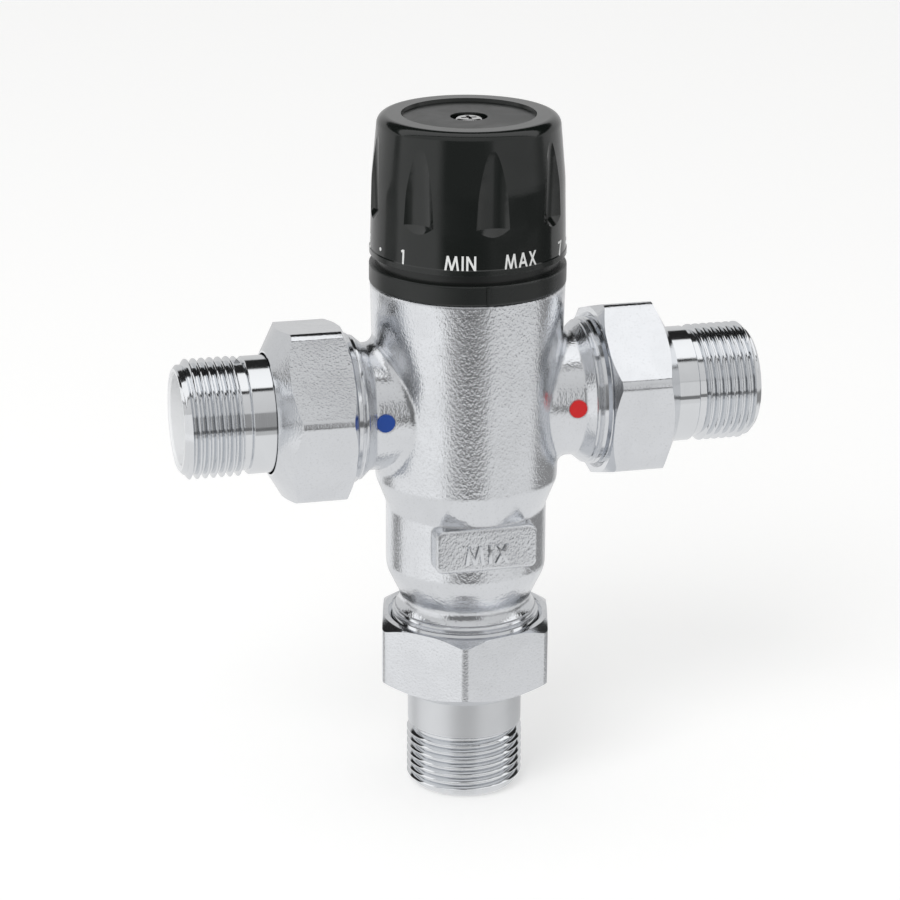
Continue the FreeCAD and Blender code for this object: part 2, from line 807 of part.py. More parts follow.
def build_tail(label, port, face, reach):
    """Tailpiece: flat-faced flange, plain shank, then the pipe thread's full diameter."""
    start = face + GASKET_OFFSET
    flange_end = start + sheet.tail_flange_width
    thread_start = reach - sheet.pipe_thread_length
    lead = sheet.pipe_thread_radius - sheet.tail_radius
    turned_part(
        label,
        [
            (sheet.tail_bore_radius, start),
            (sheet.tail_flange_radius, start),
            (sheet.tail_flange_radius, flange_end),
            (sheet.tail_radius, flange_end),
            (sheet.tail_radius, thread_start),
            (sheet.pipe_thread_radius, thread_start + lead),
            (sheet.pipe_thread_radius, reach - sheet.tail_rim_length),
            (sheet.tail_rim_radius, reach),
            (sheet.tail_bore_radius, reach),
        ],
        port,
    )


def build_nut(label, port, face, engagement, turn):
    """Hexagonal union nut, open at the casting's side and with a lip behind the tail's flange."""
    body = new_body(label)
    mouth = face - engagement
    lip = face + GASKET_OFFSET + sheet.tail_flange_width + sheet.face_clearance
    end = lip + sheet.nut_lip_width
    sketch = new_sketch(body, plane="XY_Plane", offset=(0, 0, mouth), turn=turn)
    draw_outline(sketch, hexagon(sheet.nut_across_flats))
    extrude(body, sketch, end - mouth)
    bore = sheet.union_thread_radius + sheet.nut_clearance
    lip_bore = sheet.pipe_thread_radius + sheet.lip_clearance
    revolve(
        body,
        [
            (0, mouth),
            (bore + sheet.nut_mouth_break, mouth),
            (bore, mouth + sheet.nut_mouth_break),
            (bore, lip),
            (lip_bore, lip),
            (lip_bore, end),
            (0, end),
        ],
        cut=True,
    )
    # 30 degree cones: one takes the corners off at the mouth, one closes in on the tail's shank
    corner = sheet.nut_across_flats * HEX_CORNER + sheet.edge_break
    for start, plane, way in ((sheet.nut_mouth_chamfer_start, mouth, 1), (sheet.nut_rim_radius, end, -1)):
        inward = way * (corner - start) * HEX_CORNER
        revolve(body, [(start, plane), (corner, plane), (corner, plane + inward)], cut=True)
    place_on_port(body, port)


def build_unions():
    inlet = INLET_FACE, INLET_REACH, sheet.inlet_nut_engagement
    outlet = sheet.outlet_face, sheet.inlet_height, sheet.outlet_nut_engagement
    for port, (face, reach, engagement), turn in (
        ("cold", inlet, sheet.cold_nut_turn),
        ("hot", inlet, sheet.hot_nut_turn),
        ("outlet", outlet, sheet.outlet_nut_turn),
    ):
        gasket_end = face + GASKET_OFFSET
        ring(port + "_gasket", sheet.gasket_bore_radius, sheet.gasket_radius, face, gasket_end, port)
        build_tail(port + "_tail", port, face, reach)
        build_nut(port + "_nut", port, face, engagement, turn)


# ---------------------------------------------------------------------------------------------
# check valves and strainers
# ---------------------------------------------------------------------------------------------


def build_cartridge(port):
    """Check valve housing: seat web outside, drilled guide web inside, groove for its O-ring."""
    s = sheet
    inner, outer = CARTRIDGE_BOTTOM, CARTRIDGE_END
    radius = s.cartridge_bore_radius - s.running_clearance
    groove = radius - s.seal_wire * 2 + s.running_clearance
    groove_start = inner + s.check_groove
    groove_end = groove_start + s.seal_wire * 2 + s.edge_break
    guide = s.stem_radius + s.running_clearance
    body = new_body(port + "_check_body")
    revolve(
        body,
        [
            (guide, inner),
            (radius, inner),
            (radius, groove_start),
            (groove, groove_start),
            (groove, groove_end),
            (radius, groove_end),
            (radius, outer),
            (s.seat_radius, outer),
            (s.seat_radius, CHECK_SEAT),
            (s.cartridge_bore, CHECK_SEAT),
            (s.cartridge_bore, inner + s.cartridge_web),
            (s.cartridge_hub_radius, inner + s.cartridge_web),
            (s.cartridge_hub_radius, inner + s.cartridge_hub_height),
            (guide, inner + s.cartridge_hub_height),
        ],
    )
    sketch = new_sketch(body, plane="XY_Plane", offset=(0, 0, inner))
    draw_circle(sketch, s.web_hole_radius, (s.web_hole_circle, 0))
    hole = extrude(body, sketch, s.cartridge_web, cut=True)
    repeat_round(body, hole, s.web_hole_count)
    place_on_port(body, port)
    middle = (groove_start + groove_end) / 2
    o_ring(port + "_check_o_ring", groove, s.seal_wire, middle, port)


def build_poppet(port):
    s = sheet
    turned_part(
        port + "_check_poppet",
        [
            (0, STEM_END),
            (s.stem_radius, STEM_END),
            (s.stem_radius, POPPET_BACK),
            (s.poppet_radius, POPPET_BACK),
            (s.poppet_radius, POPPET_FACE),
            (s.poppet_nose_radius, POPPET_FACE),
            (s.poppet_nose_radius, CHECK_SEAT + s.edge_break),
            (0, CHECK_SEAT + s.seat_web),
        ],
        port,
    )
    ring(
        port + "_check_seal",
        s.poppet_nose_radius,
        s.poppet_radius,
        POPPET_FACE,
        CHECK_SEAT - s.running_clearance,
        port,
    )
    coil_spring(
        port + "_check_spring",
        s.check_coil_radius,
        s.check_wire,
        CARTRIDGE_BOTTOM + s.cartridge_web,
        POPPET_BACK,
        s.check_turns,
        port,
    )


def build_strainer(port):
    """Perforated cup on a rim that the union gasket holds against the check valve."""
    s = sheet
    rim, face = CARTRIDGE_END, INLET_FACE
    tip = face + s.strainer_height
    inside = s.strainer_radius - s.strainer_wall
    body = new_body(port + "_strainer")
    revolve(
        body,
        [
            (inside, rim),
            (s.cartridge_bore_radius, rim),
            (s.cartridge_bore_radius, face),
            (s.strainer_radius, face),
            (s.strainer_radius, tip - s.strainer_wall),
            (inside, tip),
            (0, tip),
            (0, tip - s.strainer_wall),
            (inside, tip - s.strainer_wall),
        ],
    )
    sketch = new_sketch(body, plane="XY_Plane", offset=(0, 0, tip - s.strainer_wall))
    draw_circle(sketch, s.strainer_hole_radius, (s.strainer_hole_circle, 0))
    hole = extrude(body, sketch, s.strainer_wall, cut=True)
    repeat_round(body, hole, s.strainer_hole_count)
    place_on_port(body, port)


# ---------------------------------------------------------------------------------------------
# headwork
# ---------------------------------------------------------------------------------------------


def build_bonnet():
    s = sheet
    groove = COLD_CHAMBER_RADIUS - s.seal_wire * 2
    groove_top = THREAD_BOTTOM - s.edge_break
    groove_bottom = groove_top - s.seal_wire * 2 - s.edge_break
    flange_top = FLANGE_SEAT + s.bonnet_flange_height
    thread = BONNET_THREAD_RADIUS - s.running_clearance
    body = new_body("bonnet")
    revolve(
        body,
        [
            (0, COLD_SEAT),
            (BONNET_NOSE_RADIUS, COLD_SEAT),
            (BONNET_NOSE_RADIUS, groove_bottom),
            (groove, groove_bottom),
            (groove, groove_top),
            (BONNET_NOSE_RADIUS, groove_top),
            (BONNET_NOSE_RADIUS, THREAD_BOTTOM),
            (thread, THREAD_BOTTOM),
            (thread, FLANGE_SEAT),
            (BONNET_FLANGE_RADIUS, FLANGE_SEAT),
            (BONNET_FLANGE_RADIUS, flange_top),
            (s.housing_radius, flange_top),
            (s.housing_radius, HOUSING_TOP, s.edge_break),
            (s.neck_outer_radius, HOUSING_TOP),
            (s.neck_outer_radius, NECK_TOP),
            (0, NECK_TOP),
        ],
    )
    sketch = new_sketch(body, plane="XY_Plane", offset=(0, 0, flange_top))
    draw_outline(sketch, hexagon(BONNET_HEX))
    extrude(body, sketch, s.bonnet_hex_height)
    journal = s.journal_radius + s.running_clearance
    revolve(
        body,
        [
            (0, COLD_SEAT),
            (s.bonnet_bore_radius, COLD_SEAT),
            (s.bonnet_bore_radius, BONNET_CEILING),
            (journal, BONNET_CEILING),
            (journal, NECK_TOP),
            (0, NECK_TOP),
        ],
        cut=True,
    )
    slot = s.key_radius + s.key_clearance
    sketch = new_sketch(body, plane="XY_Plane", offset=(0, 0, COLD_SEAT))
    draw_outline(sketch, rectangle(slot, s.key_width / 2 + s.key_clearance))
    extrude(body, sketch, COLLAR_BOTTOM - COLD_SEAT, cut=True)
    o_ring("bonnet_seal", groove, s.seal_wire, (groove_bottom + groove_top) / 2)
    ring(
        "thrust_washer",
        s.journal_radius + s.running_clearance,
        s.collar_disc_radius,
        COLLAR_TOP + s.running_clearance,
        BONNET_CEILING,
    )


def build_spindle():
    """Spindle: adjusting screw, thrust collar, sealed journal and a two-flat drive for the knob."""
    s = sheet
    seal_groove = s.journal_radius - s.small_seal_wire * 2 + s.running_clearance
    seal_width = s.small_seal_wire * 2 + s.edge_break
    gap = (NECK_TOP - BONNET_CEILING - seal_width * 2) / 3
    low = BONNET_CEILING + gap
    high = low + seal_width + gap
    clip_bottom = NECK_TOP + s.running_clearance
    clip_top = clip_bottom + s.circlip_width
    clip_groove = s.journal_radius - s.circlip_depth
    body = new_body("spindle")
    revolve(
        body,
        [
            (0, INLET_AXIS + s.spindle_tip),
            (s.spindle_thread_radius - s.edge_break, INLET_AXIS + s.spindle_tip),
            (s.spindle_thread_radius, INLET_AXIS + s.spindle_tip + s.edge_break),
            (s.spindle_thread_radius, COLLAR_BOTTOM),
            (s.collar_disc_radius, COLLAR_BOTTOM),
            (s.collar_disc_radius, COLLAR_TOP),
            (s.journal_radius, COLLAR_TOP),
            (s.journal_radius, low),
            (seal_groove, low),
            (seal_groove, low + seal_width),
            (s.journal_radius, low + seal_width),
            (s.journal_radius, high),
            (seal_groove, high),
            (seal_groove, high + seal_width),
            (s.journal_radius, high + seal_width),
            (s.journal_radius, clip_bottom),
            (clip_groove, clip_bottom),
            (clip_groove, clip_top),
            (s.journal_radius, clip_top),
            (s.journal_radius, HUB_BOTTOM),
            (s.drive_radius, HUB_BOTTOM),
            (s.drive_radius, DRIVE_TOP),
            (0, DRIVE_TOP),
        ],
    )
    flats = new_sketch(body, plane="XY_Plane", offset=(0, 0, DRIVE_TOP))
    outside = s.drive_radius + s.edge_break
    flat_x = s.drive_half_width
    draw_outline(
        flats, [(flat_x, -outside), (outside, -outside), (outside, outside), (flat_x, outside)]
    )
    flat = extrude(body, flats, DRIVE_TOP - HUB_BOTTOM, cut=True, backwards=True)
    repeat_round(body, flat, 2)
    sketch = new_sketch(body, plane="XY_Plane", offset=(0, 0, DRIVE_TOP))
    draw_circle(sketch, s.screw_radius + s.running_clearance)
    extrude(body, sketch, s.screw_length, cut=True, backwards=True)
    for label, start in (("spindle_seal_lower", low), ("spindle_seal_upper", high)):
        o_ring(label, seal_groove, s.small_seal_wire, start + seal_width / 2)
    ring("spindle_circlip", clip_groove, s.circlip_radius, clip_bottom, clip_top)


def build_adjuster():
    """Keyed cup that climbs the spindle's screw, and the spring pack that it holds."""
    s = sheet
    bore = s.cup_radius - s.cup_wall
    groove_bottom = CUP_BOTTOM + s.snap_ring_lift
    groove = bore + s.snap_ring_depth
    body = new_body("adjuster_cup")
    revolve(
        body,
        [
            (bore, CUP_BOTTOM),
            (s.cup_radius, CUP_BOTTOM),
            (s.cup_radius, CUP_TOP),
            (s.spindle_thread_radius + s.running_clearance, CUP_TOP),
            (s.spindle_thread_radius + s.running_clearance, CUP_CEILING),
            (bore, CUP_CEILING),
            (bore, PUSH_PAD_BOTTOM),
            (groove, PUSH_PAD_BOTTOM),
            (groove, groove_bottom),
            (bore, groove_bottom),
        ],
    )
    sketch = new_sketch(body, plane="XY_Plane", offset=(0, 0, CUP_CEILING))
    inner = s.cup_radius - s.cup_wall / 2
    key = s.key_width / 2
    draw_outline(sketch, [(inner, -key), (s.key_radius, -key), (s.key_radius, key), (inner, key)])
    tooth = extrude(body, sketch, s.cup_nut_length)
    repeat_round(body, tooth, 2)

    pad_top = PUSH_PAD_BOTTOM + s.push_pad_height
    turned_part(
        "push_pad",
        [
            (0, PUSH_PAD_BOTTOM),
            (bore - s.running_clearance, PUSH_PAD_BOTTOM),
            (bore - s.running_clearance, pad_top),
            (0, pad_top),
        ],
    )
    ring("pad_snap_ring", s.snap_ring_bore_radius, groove, groove_bottom, PUSH_PAD_BOTTOM)
    coil_spring(
        "overload_spring",
        s.overload_coil_radius,
        s.overload_wire,
        pad_top,
        CUP_CEILING,
        s.overload_turns,
    )


# ---------------------------------------------------------------------------------------------
# thermostatic element and shuttle
# ---------------------------------------------------------------------------------------------


def build_shuttle():
    s = sheet
    seal_depth = s.seal_wire * 2 - s.running_clearance
    groove = s.shuttle_radius - seal_depth
    half_groove = s.seal_wire + s.edge_break / 2
    c = s.edge_break
    body = new_body("shuttle")
    revolve(
        body,
        [
            (s.shuttle_bore_radius, SHUTTLE_BOTTOM),
            (s.shuttle_radius - c, SHUTTLE_BOTTOM),
            (s.shuttle_radius, SHUTTLE_BOTTOM + c),
            (s.shuttle_radius, SHUTTLE_SEAL_MIDDLE - half_groove),
            (groove, SHUTTLE_SEAL_MIDDLE - half_groove),
            (groove, SHUTTLE_SEAL_MIDDLE + half_groove),
            (s.shuttle_radius, SHUTTLE_SEAL_MIDDLE + half_groove),
            (s.shuttle_radius, SHUTTLE_TOP - c),
            (s.shuttle_radius - c, SHUTTLE_TOP),
            (s.shuttle_bore_radius, SHUTTLE_TOP),
        ],
    )
    spoke = s.spoke_width / 2
    inner = (s.element_radius + s.element_hub_radius) / 2
    outer = (s.shuttle_bore_radius + groove) / 2
    sketch = new_sketch(body, plane="XY_Plane", offset=(0, 0, SPOKE_BOTTOM))
    draw_outline(sketch, [(inner, -spoke), (outer, -spoke), (outer, spoke), (inner, spoke)])
    first = extrude(body, sketch, s.spoke_height)
    repeat_round(body, first, 3)
    bore = s.element_radius + s.running_clearance
    revolve(
        body,
        [
            (bore, SPOKE_BOTTOM),
            (s.element_hub_radius, SPOKE_BOTTOM),
            (s.element_hub_radius, SPOKE_TOP),
            (bore, SPOKE_TOP),
        ],
    )
    o_ring("shuttle_seal", groove, s.seal_wire, SHUTTLE_SEAL_MIDDLE)


def build_element():
    s = sheet
    flange_top = SPOKE_TOP + s.element_flange_height
    bottom = SPOKE_TOP - s.element_length
    hole = s.pin_radius + s.running_clearance
    turned_part(
        "thermostat_element",
        [
            (0, bottom),
            (s.element_radius, bottom, s.edge_break),
            (s.element_radius, SPOKE_TOP),
            (s.element_flange_radius, SPOKE_TOP),
            (s.element_flange_radius, flange_top, s.edge_break),
            (s.guide_radius, flange_top),
            (s.guide_radius, GUIDE_TOP, s.edge_break),
            (hole, GUIDE_TOP),
            (hole, GUIDE_TOP - s.pin_depth),
            (0, GUIDE_TOP - s.pin_depth),
        ],
    )
    turned_part(
        "element_pin",
        [
            (0, GUIDE_TOP - s.pin_depth),
            (s.pin_radius, GUIDE_TOP - s.pin_depth),
            (s.pin_radius, PUSH_PAD_BOTTOM),
            (0, PUSH_PAD_BOTTOM),
        ],
    )


def build_return_spring():
    s = sheet
    bottom = SPRING_SEAT_TOP - s.spring_seat_height
    middle = (s.spring_seat_bore + s.outlet_bore_radius) / 2
    body = new_body("spring_seat")
    rim = s.outlet_bore_radius - s.cup_wall
    hub = s.return_coil_radius + s.return_wire * 2
    revolve(
        body,
        [
            (rim, bottom),
            (s.outlet_bore_radius, bottom),
            (s.outlet_bore_radius, SPRING_SEAT_TOP),
            (rim, SPRING_SEAT_TOP),
        ],
    )
    spoke = s.spoke_width / 2
    inner = (s.spring_seat_bore + hub) / 2
    outer = (rim + s.outlet_bore_radius) / 2
    sketch = new_sketch(body, plane="XY_Plane", offset=(0, 0, bottom))
    draw_outline(sketch, [(inner, -spoke), (outer, -spoke), (outer, spoke), (inner, spoke)])
    first = extrude(body, sketch, s.spring_seat_height)
    repeat_round(body, first, 3)
    revolve(
        body,
        [
            (s.spring_seat_bore, bottom),
            (hub, bottom),
            (hub, SPRING_SEAT_TOP),
            (s.spring_seat_bore, SPRING_SEAT_TOP),
        ],
    )
    coil_spring(
        "return_spring",
        s.return_coil_radius,
        s.return_wire,
        SPRING_SEAT_TOP,
        SPOKE_BOTTOM,
        s.return_turns,
    )


# ---------------------------------------------------------------------------------------------
# knob
# ---------------------------------------------------------------------------------------------


def build_index_ring():
    s = sheet
    turned_part(
        "index_ring",
        [
            (RING_BORE_RADIUS, CASTING_TOP),
            (RING_RADIUS, CASTING_TOP, s.edge_break),
            (RING_RADIUS, RING_STEP, s.edge_break),
            (RING_SPIGOT_RADIUS, RING_STEP),
            (RING_SPIGOT_RADIUS, RING_TOP),
            (RING_BORE_RADIUS, RING_TOP),
        ],
    )


def build_knob():
    """Moulded knob: fluted skirt, recessed top disc, ribbed hub on the spindle's flats."""
    s = sheet
    c = s.edge_break
    lip_top = KNOB_BOTTOM + s.knob_lip_height
    side = KNOB_RADIUS - s.knob_lip
    inside = KNOB_RADIUS - s.knob_wall
    body = new_body("knob")
    revolve(
        body,
        [
            (0, KNOB_BOTTOM),
            (KNOB_RADIUS, KNOB_BOTTOM, s.running_clearance),
            (KNOB_RADIUS, lip_top),
            (side, lip_top + s.knob_lip),
            (KNOB_MIDDLE_RADIUS, KNOB_BOTTOM + s.knob_middle_height, s.knob_middle_blend),
            (KNOB_CROWN_RADIUS, KNOB_TOP, s.knob_crown_blend),
            (KNOB_RECESS_RADIUS, KNOB_TOP),
            (KNOB_RECESS_RADIUS - c / 2, KNOB_FLOOR),
            (s.screw_recess_radius, KNOB_FLOOR),
            (s.screw_recess_radius, SCREW_SEAT),
            (0, SCREW_SEAT),
        ],
    )
    revolve(
        body,
        [
            (0, KNOB_BOTTOM),
            (inside, KNOB_BOTTOM),
            (inside - s.knob_draft, WEB_BOTTOM, s.edge_break),
            (s.hub_radius, WEB_BOTTOM),
            (s.hub_radius, HUB_BOTTOM),
            (0, HUB_BOTTOM),
        ],
        cut=True,
    )
    rib = s.knob_rib_width / 2
    rib_end = inside - s.knob_draft / 2
    sketch = new_sketch(body, plane="XY_Plane", offset=(0, 0, WEB_BOTTOM))
    half_hub = s.hub_radius - c
    draw_outline(sketch, [(half_hub, -rib), (rib_end, -rib), (rib_end, rib), (half_hub, rib)])
    first_rib = extrude(body, sketch, s.knob_rib_height, backwards=True)
    repeat_round(body, first_rib, 4)
    add_flutes(body)
    cut_drive_bore(body)


def add_flutes(body):
    """Finger flutes: a cone of revolution outside the knob, deepest at its slanted lower end."""
    s = sheet
    bottom, top = KNOB_BOTTOM + s.flute_bottom, KNOB_BOTTOM + s.flute_top
    flute = revolve(
        body,
        [
            (0, bottom - s.flute_runout),
            (s.flute_radius - s.flute_runout, bottom - s.flute_runout),
            (s.flute_radius, bottom),
            (s.flute_top_radius, top),
            (s.flute_top_radius - s.flute_runout, top + s.flute_runout),
            (0, top + s.flute_runout),
        ],
        cut=True,
        plane="YZ_Plane",
        offset=(FLUTE_AXIS_RADIUS, 0, 0),
    )
    repeat_round(body, flute, s.flute_count)


def cut_drive_bore(body):
    """Two-flat bore for the spindle and the screw's hole above it."""
    s = sheet
    round_half = s.drive_radius + s.running_clearance
    flat_half = s.drive_half_width + s.running_clearance
    sketch = new_sketch(body, plane="XY_Plane", offset=(0, 0, HUB_BOTTOM))
    draw_outline(sketch, rectangle(flat_half, round_half, s.edge_break))
    extrude(body, sketch, DRIVE_TOP - HUB_BOTTOM + s.running_clearance, cut=True)
    sketch = new_sketch(body, plane="XY_Plane", offset=(0, 0, DRIVE_TOP))
    draw_circle(sketch, s.screw_radius + s.running_clearance)
    extrude(body, sketch, SCREW_SEAT - DRIVE_TOP, cut=True)


def build_knob_screw():
    s = sheet
    head_top = SCREW_SEAT + s.screw_head_height
    body = new_body("knob_screw")
    revolve(
        body,
        [
            (0, SCREW_SEAT - s.screw_length),
            (s.screw_radius, SCREW_SEAT - s.screw_length),
            (s.screw_radius, SCREW_SEAT),
            (s.screw_head_radius, SCREW_SEAT),
            (s.screw_head_radius, head_top, s.screw_head_height / 2),
            (0, head_top),
        ],
    )
    for size in (
        (s.cross_length / 2, s.cross_width / 2),
        (s.cross_width / 2, s.cross_length / 2),
    ):
        sketch = new_sketch(body, plane="XY_Plane", offset=(0, 0, head_top))
        draw_outline(sketch, rectangle(*size))
        extrude(body, sketch, s.cross_depth, cut=True, backwards=True)


# ---------------------------------------------------------------------------------------------
# the whole valve
# ---------------------------------------------------------------------------------------------


def check_document():
    """Stop unless every object recomputed cleanly and every sub-part is a valid solid."""
    DOC.recompute()
    for item in DOC.Objects:
        if {"Invalid", "Error"} & set(item.State):
            raise RuntimeError(f"{item.Name} failed: {item.State}")
    for part in SUB_PARTS:
        shape = part.Shape
        if shape.isNull() or not shape.isValid() or not shape.Solids:
            raise RuntimeError(f"{part.Label} is not a valid solid")


def write_steps():
    os.makedirs("parts", exist_ok=True)
    for part in SUB_PARTS:
        part.Shape.exportStep(f"parts/{part.Label}.step")
        print(f"{part.Label:22s} {len(part.Shape.Solids)} solid {part.Shape.Volume:10.1f} mm3")


build_casting()
build_marks()
build_unions()
for inlet_port in ("cold", "hot"):
    build_cartridge(inlet_port)
    build_poppet(inlet_port)
    build_strainer(inlet_port)
build_bonnet()
build_spindle()
build_adjuster()
build_shuttle()
build_element()
build_return_spring()
build_index_ring()
build_knob()
build_knob_screw()
check_document()
write_steps()
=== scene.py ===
"""Looks of the thermostatic mixing valve: finishes, pipe threads, printing, light and camera."""

import json
import logging
import math
from dataclasses import dataclass
from enum import Enum
from functools import partial
from typing import Callable, Optional, Sequence

import bpy
from mathutils import Matrix, Vector


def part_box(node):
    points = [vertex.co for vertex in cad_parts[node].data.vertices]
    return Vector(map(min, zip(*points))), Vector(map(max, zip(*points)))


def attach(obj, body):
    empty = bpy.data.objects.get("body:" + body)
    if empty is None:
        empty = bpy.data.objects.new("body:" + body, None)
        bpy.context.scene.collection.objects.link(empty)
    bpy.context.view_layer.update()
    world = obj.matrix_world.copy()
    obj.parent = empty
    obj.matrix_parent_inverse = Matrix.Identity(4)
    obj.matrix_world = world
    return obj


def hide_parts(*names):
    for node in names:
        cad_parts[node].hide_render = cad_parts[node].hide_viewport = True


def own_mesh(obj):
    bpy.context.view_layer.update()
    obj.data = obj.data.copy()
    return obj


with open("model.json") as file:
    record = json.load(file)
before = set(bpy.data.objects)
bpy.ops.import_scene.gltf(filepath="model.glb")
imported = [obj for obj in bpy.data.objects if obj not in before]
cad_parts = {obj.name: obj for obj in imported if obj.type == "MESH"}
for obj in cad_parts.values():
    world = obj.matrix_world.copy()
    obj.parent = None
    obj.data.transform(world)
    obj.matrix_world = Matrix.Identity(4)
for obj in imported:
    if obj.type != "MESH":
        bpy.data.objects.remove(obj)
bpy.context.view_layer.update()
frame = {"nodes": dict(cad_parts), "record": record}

LOG = logging.getLogger("mixing_valve")
MM = 0.001
Point2 = tuple[float, float]
Colour = tuple[float, float, float]
Stops = tuple[tuple[float, float], ...]


class Slot(Enum):
    """The record's material slots."""

    CAST_PLATING = "cast_plating"
    NUT_PLATING = "nut_plating"
    TURNED_PLATING = "turned_plating"
    BLACK_PLASTIC = "black_plastic"
    BLUE_PLASTIC = "blue_plastic"
    RED_PLASTIC = "red_plastic"
    WHITE_PLASTIC = "white_plastic"
    BRASS = "brass"
    STEEL = "steel"
    RUBBER = "rubber"
    FIBRE = "fibre"


class Port(Enum):
    """The three unions."""

    COLD = "cold"
    HOT = "hot"
    OUTLET = "outlet"

    @property
    def axis(self) -> str:
        """The axis of the valve that the union lies along."""
        return "Z" if self is Port.OUTLET else "X"

    @property
    def turn(self) -> Matrix:
        """Rotation that lays local +Z along the union's outward direction.

        Returns:
            The rotation.
        """
        turns = {Port.COLD: (-90, "Y"), Port.HOT: (90, "Y"), Port.OUTLET: (180, "X")}
        degrees, axis = turns[self]
        return Matrix.Rotation(math.radians(degrees), 4, axis)


# ---------------------------------------------------------------------------------------------
# nodes
# ---------------------------------------------------------------------------------------------


@dataclass
class NodeBench:
    """Adds and wires nodes in one tree."""

    tree: bpy.types.NodeTree

    def add(self, kind: str, inputs: Optional[dict] = None, **settings: object) -> bpy.types.Node:
        """Adds a node.

        Args:
            kind: The node's type name.
            inputs: Values or output sockets for its inputs, by name or index.
            settings: Properties of the node itself.

        Returns:
            The new node.
        """
        node = self.tree.nodes.new(kind)
        for key, value in settings.items():
            setattr(node, key, value)
        for key, value in (inputs or {}).items():
            if isinstance(value, bpy.types.NodeSocket):
                self.tree.links.new(value, node.inputs[key])
            else:
                node.inputs[key].default_value = value
        return node

    def group(self, tree: bpy.types.NodeTree, inputs: dict) -> bpy.types.NodeSocket:
        """Places a shared group and returns its Height."""
        return self.add("ShaderNodeGroup", inputs, node_tree=tree).outputs["Height"]

    def math(self, operation: str, *values: object) -> bpy.types.NodeSocket:
        """Adds a Math node and returns its output."""
        inputs = dict(enumerate(values))
        return self.add("ShaderNodeMath", inputs, operation=operation).outputs[0]

    def distance(self, *values: object) -> bpy.types.NodeSocket:
        """Adds nodes for how far two coordinates lie from an axis, and returns the output."""
        squares = [self.math("POWER", value, 2.0) for value in values]
        return self.math("SQRT", self.math("ADD", *squares))

    def fade(
        self, value: object, start: float, end: float, low: float = 0.0, high: float = 1.0
    ) -> bpy.types.NodeSocket:
        """Maps a value smoothly from one range to another.

        Args:
            value: The value's output socket.
            start: Where the fade starts.
            end: Where it ends.
            low: The result before the start.
            high: The result past the end.

        Returns:
            The result's socket.
        """
        inputs = {"Value": value, "From Min": start, "From Max": end, "To Min": low, "To Max": high}
        node = self.add("ShaderNodeMapRange", inputs, interpolation_type="SMOOTHSTEP")
        return node.outputs["Result"]

    def ramp(self, value: object, stops: Sequence[Point2]) -> bpy.types.NodeSocket:
        """Adds a ramp of greys.

        Args:
            value: The value's output socket.
            stops: (position, level) pairs in order.

        Returns:
            The colour's socket.
        """
        node = self.add("ShaderNodeValToRGB", {"Fac": value})
        ramp = node.color_ramp
        ramp.interpolation = "EASE"
        while len(ramp.elements) > 1:
            ramp.elements.remove(ramp.elements[-1])
        for index, (place, level) in enumerate(stops):
            element = ramp.elements[0] if index == 0 else ramp.elements.new(place)
            element.position = place
            element.color = (level, level, level, 1.0)
        return node.outputs["Color"]

    def mix(self, factor: object, first: object, second: object) -> bpy.types.NodeSocket:
        """Mixes two colours and returns the result."""
        inputs = {0: factor, 6: first, 7: second}
        return self.add("ShaderNodeMix", inputs, data_type="RGBA").outputs[2]


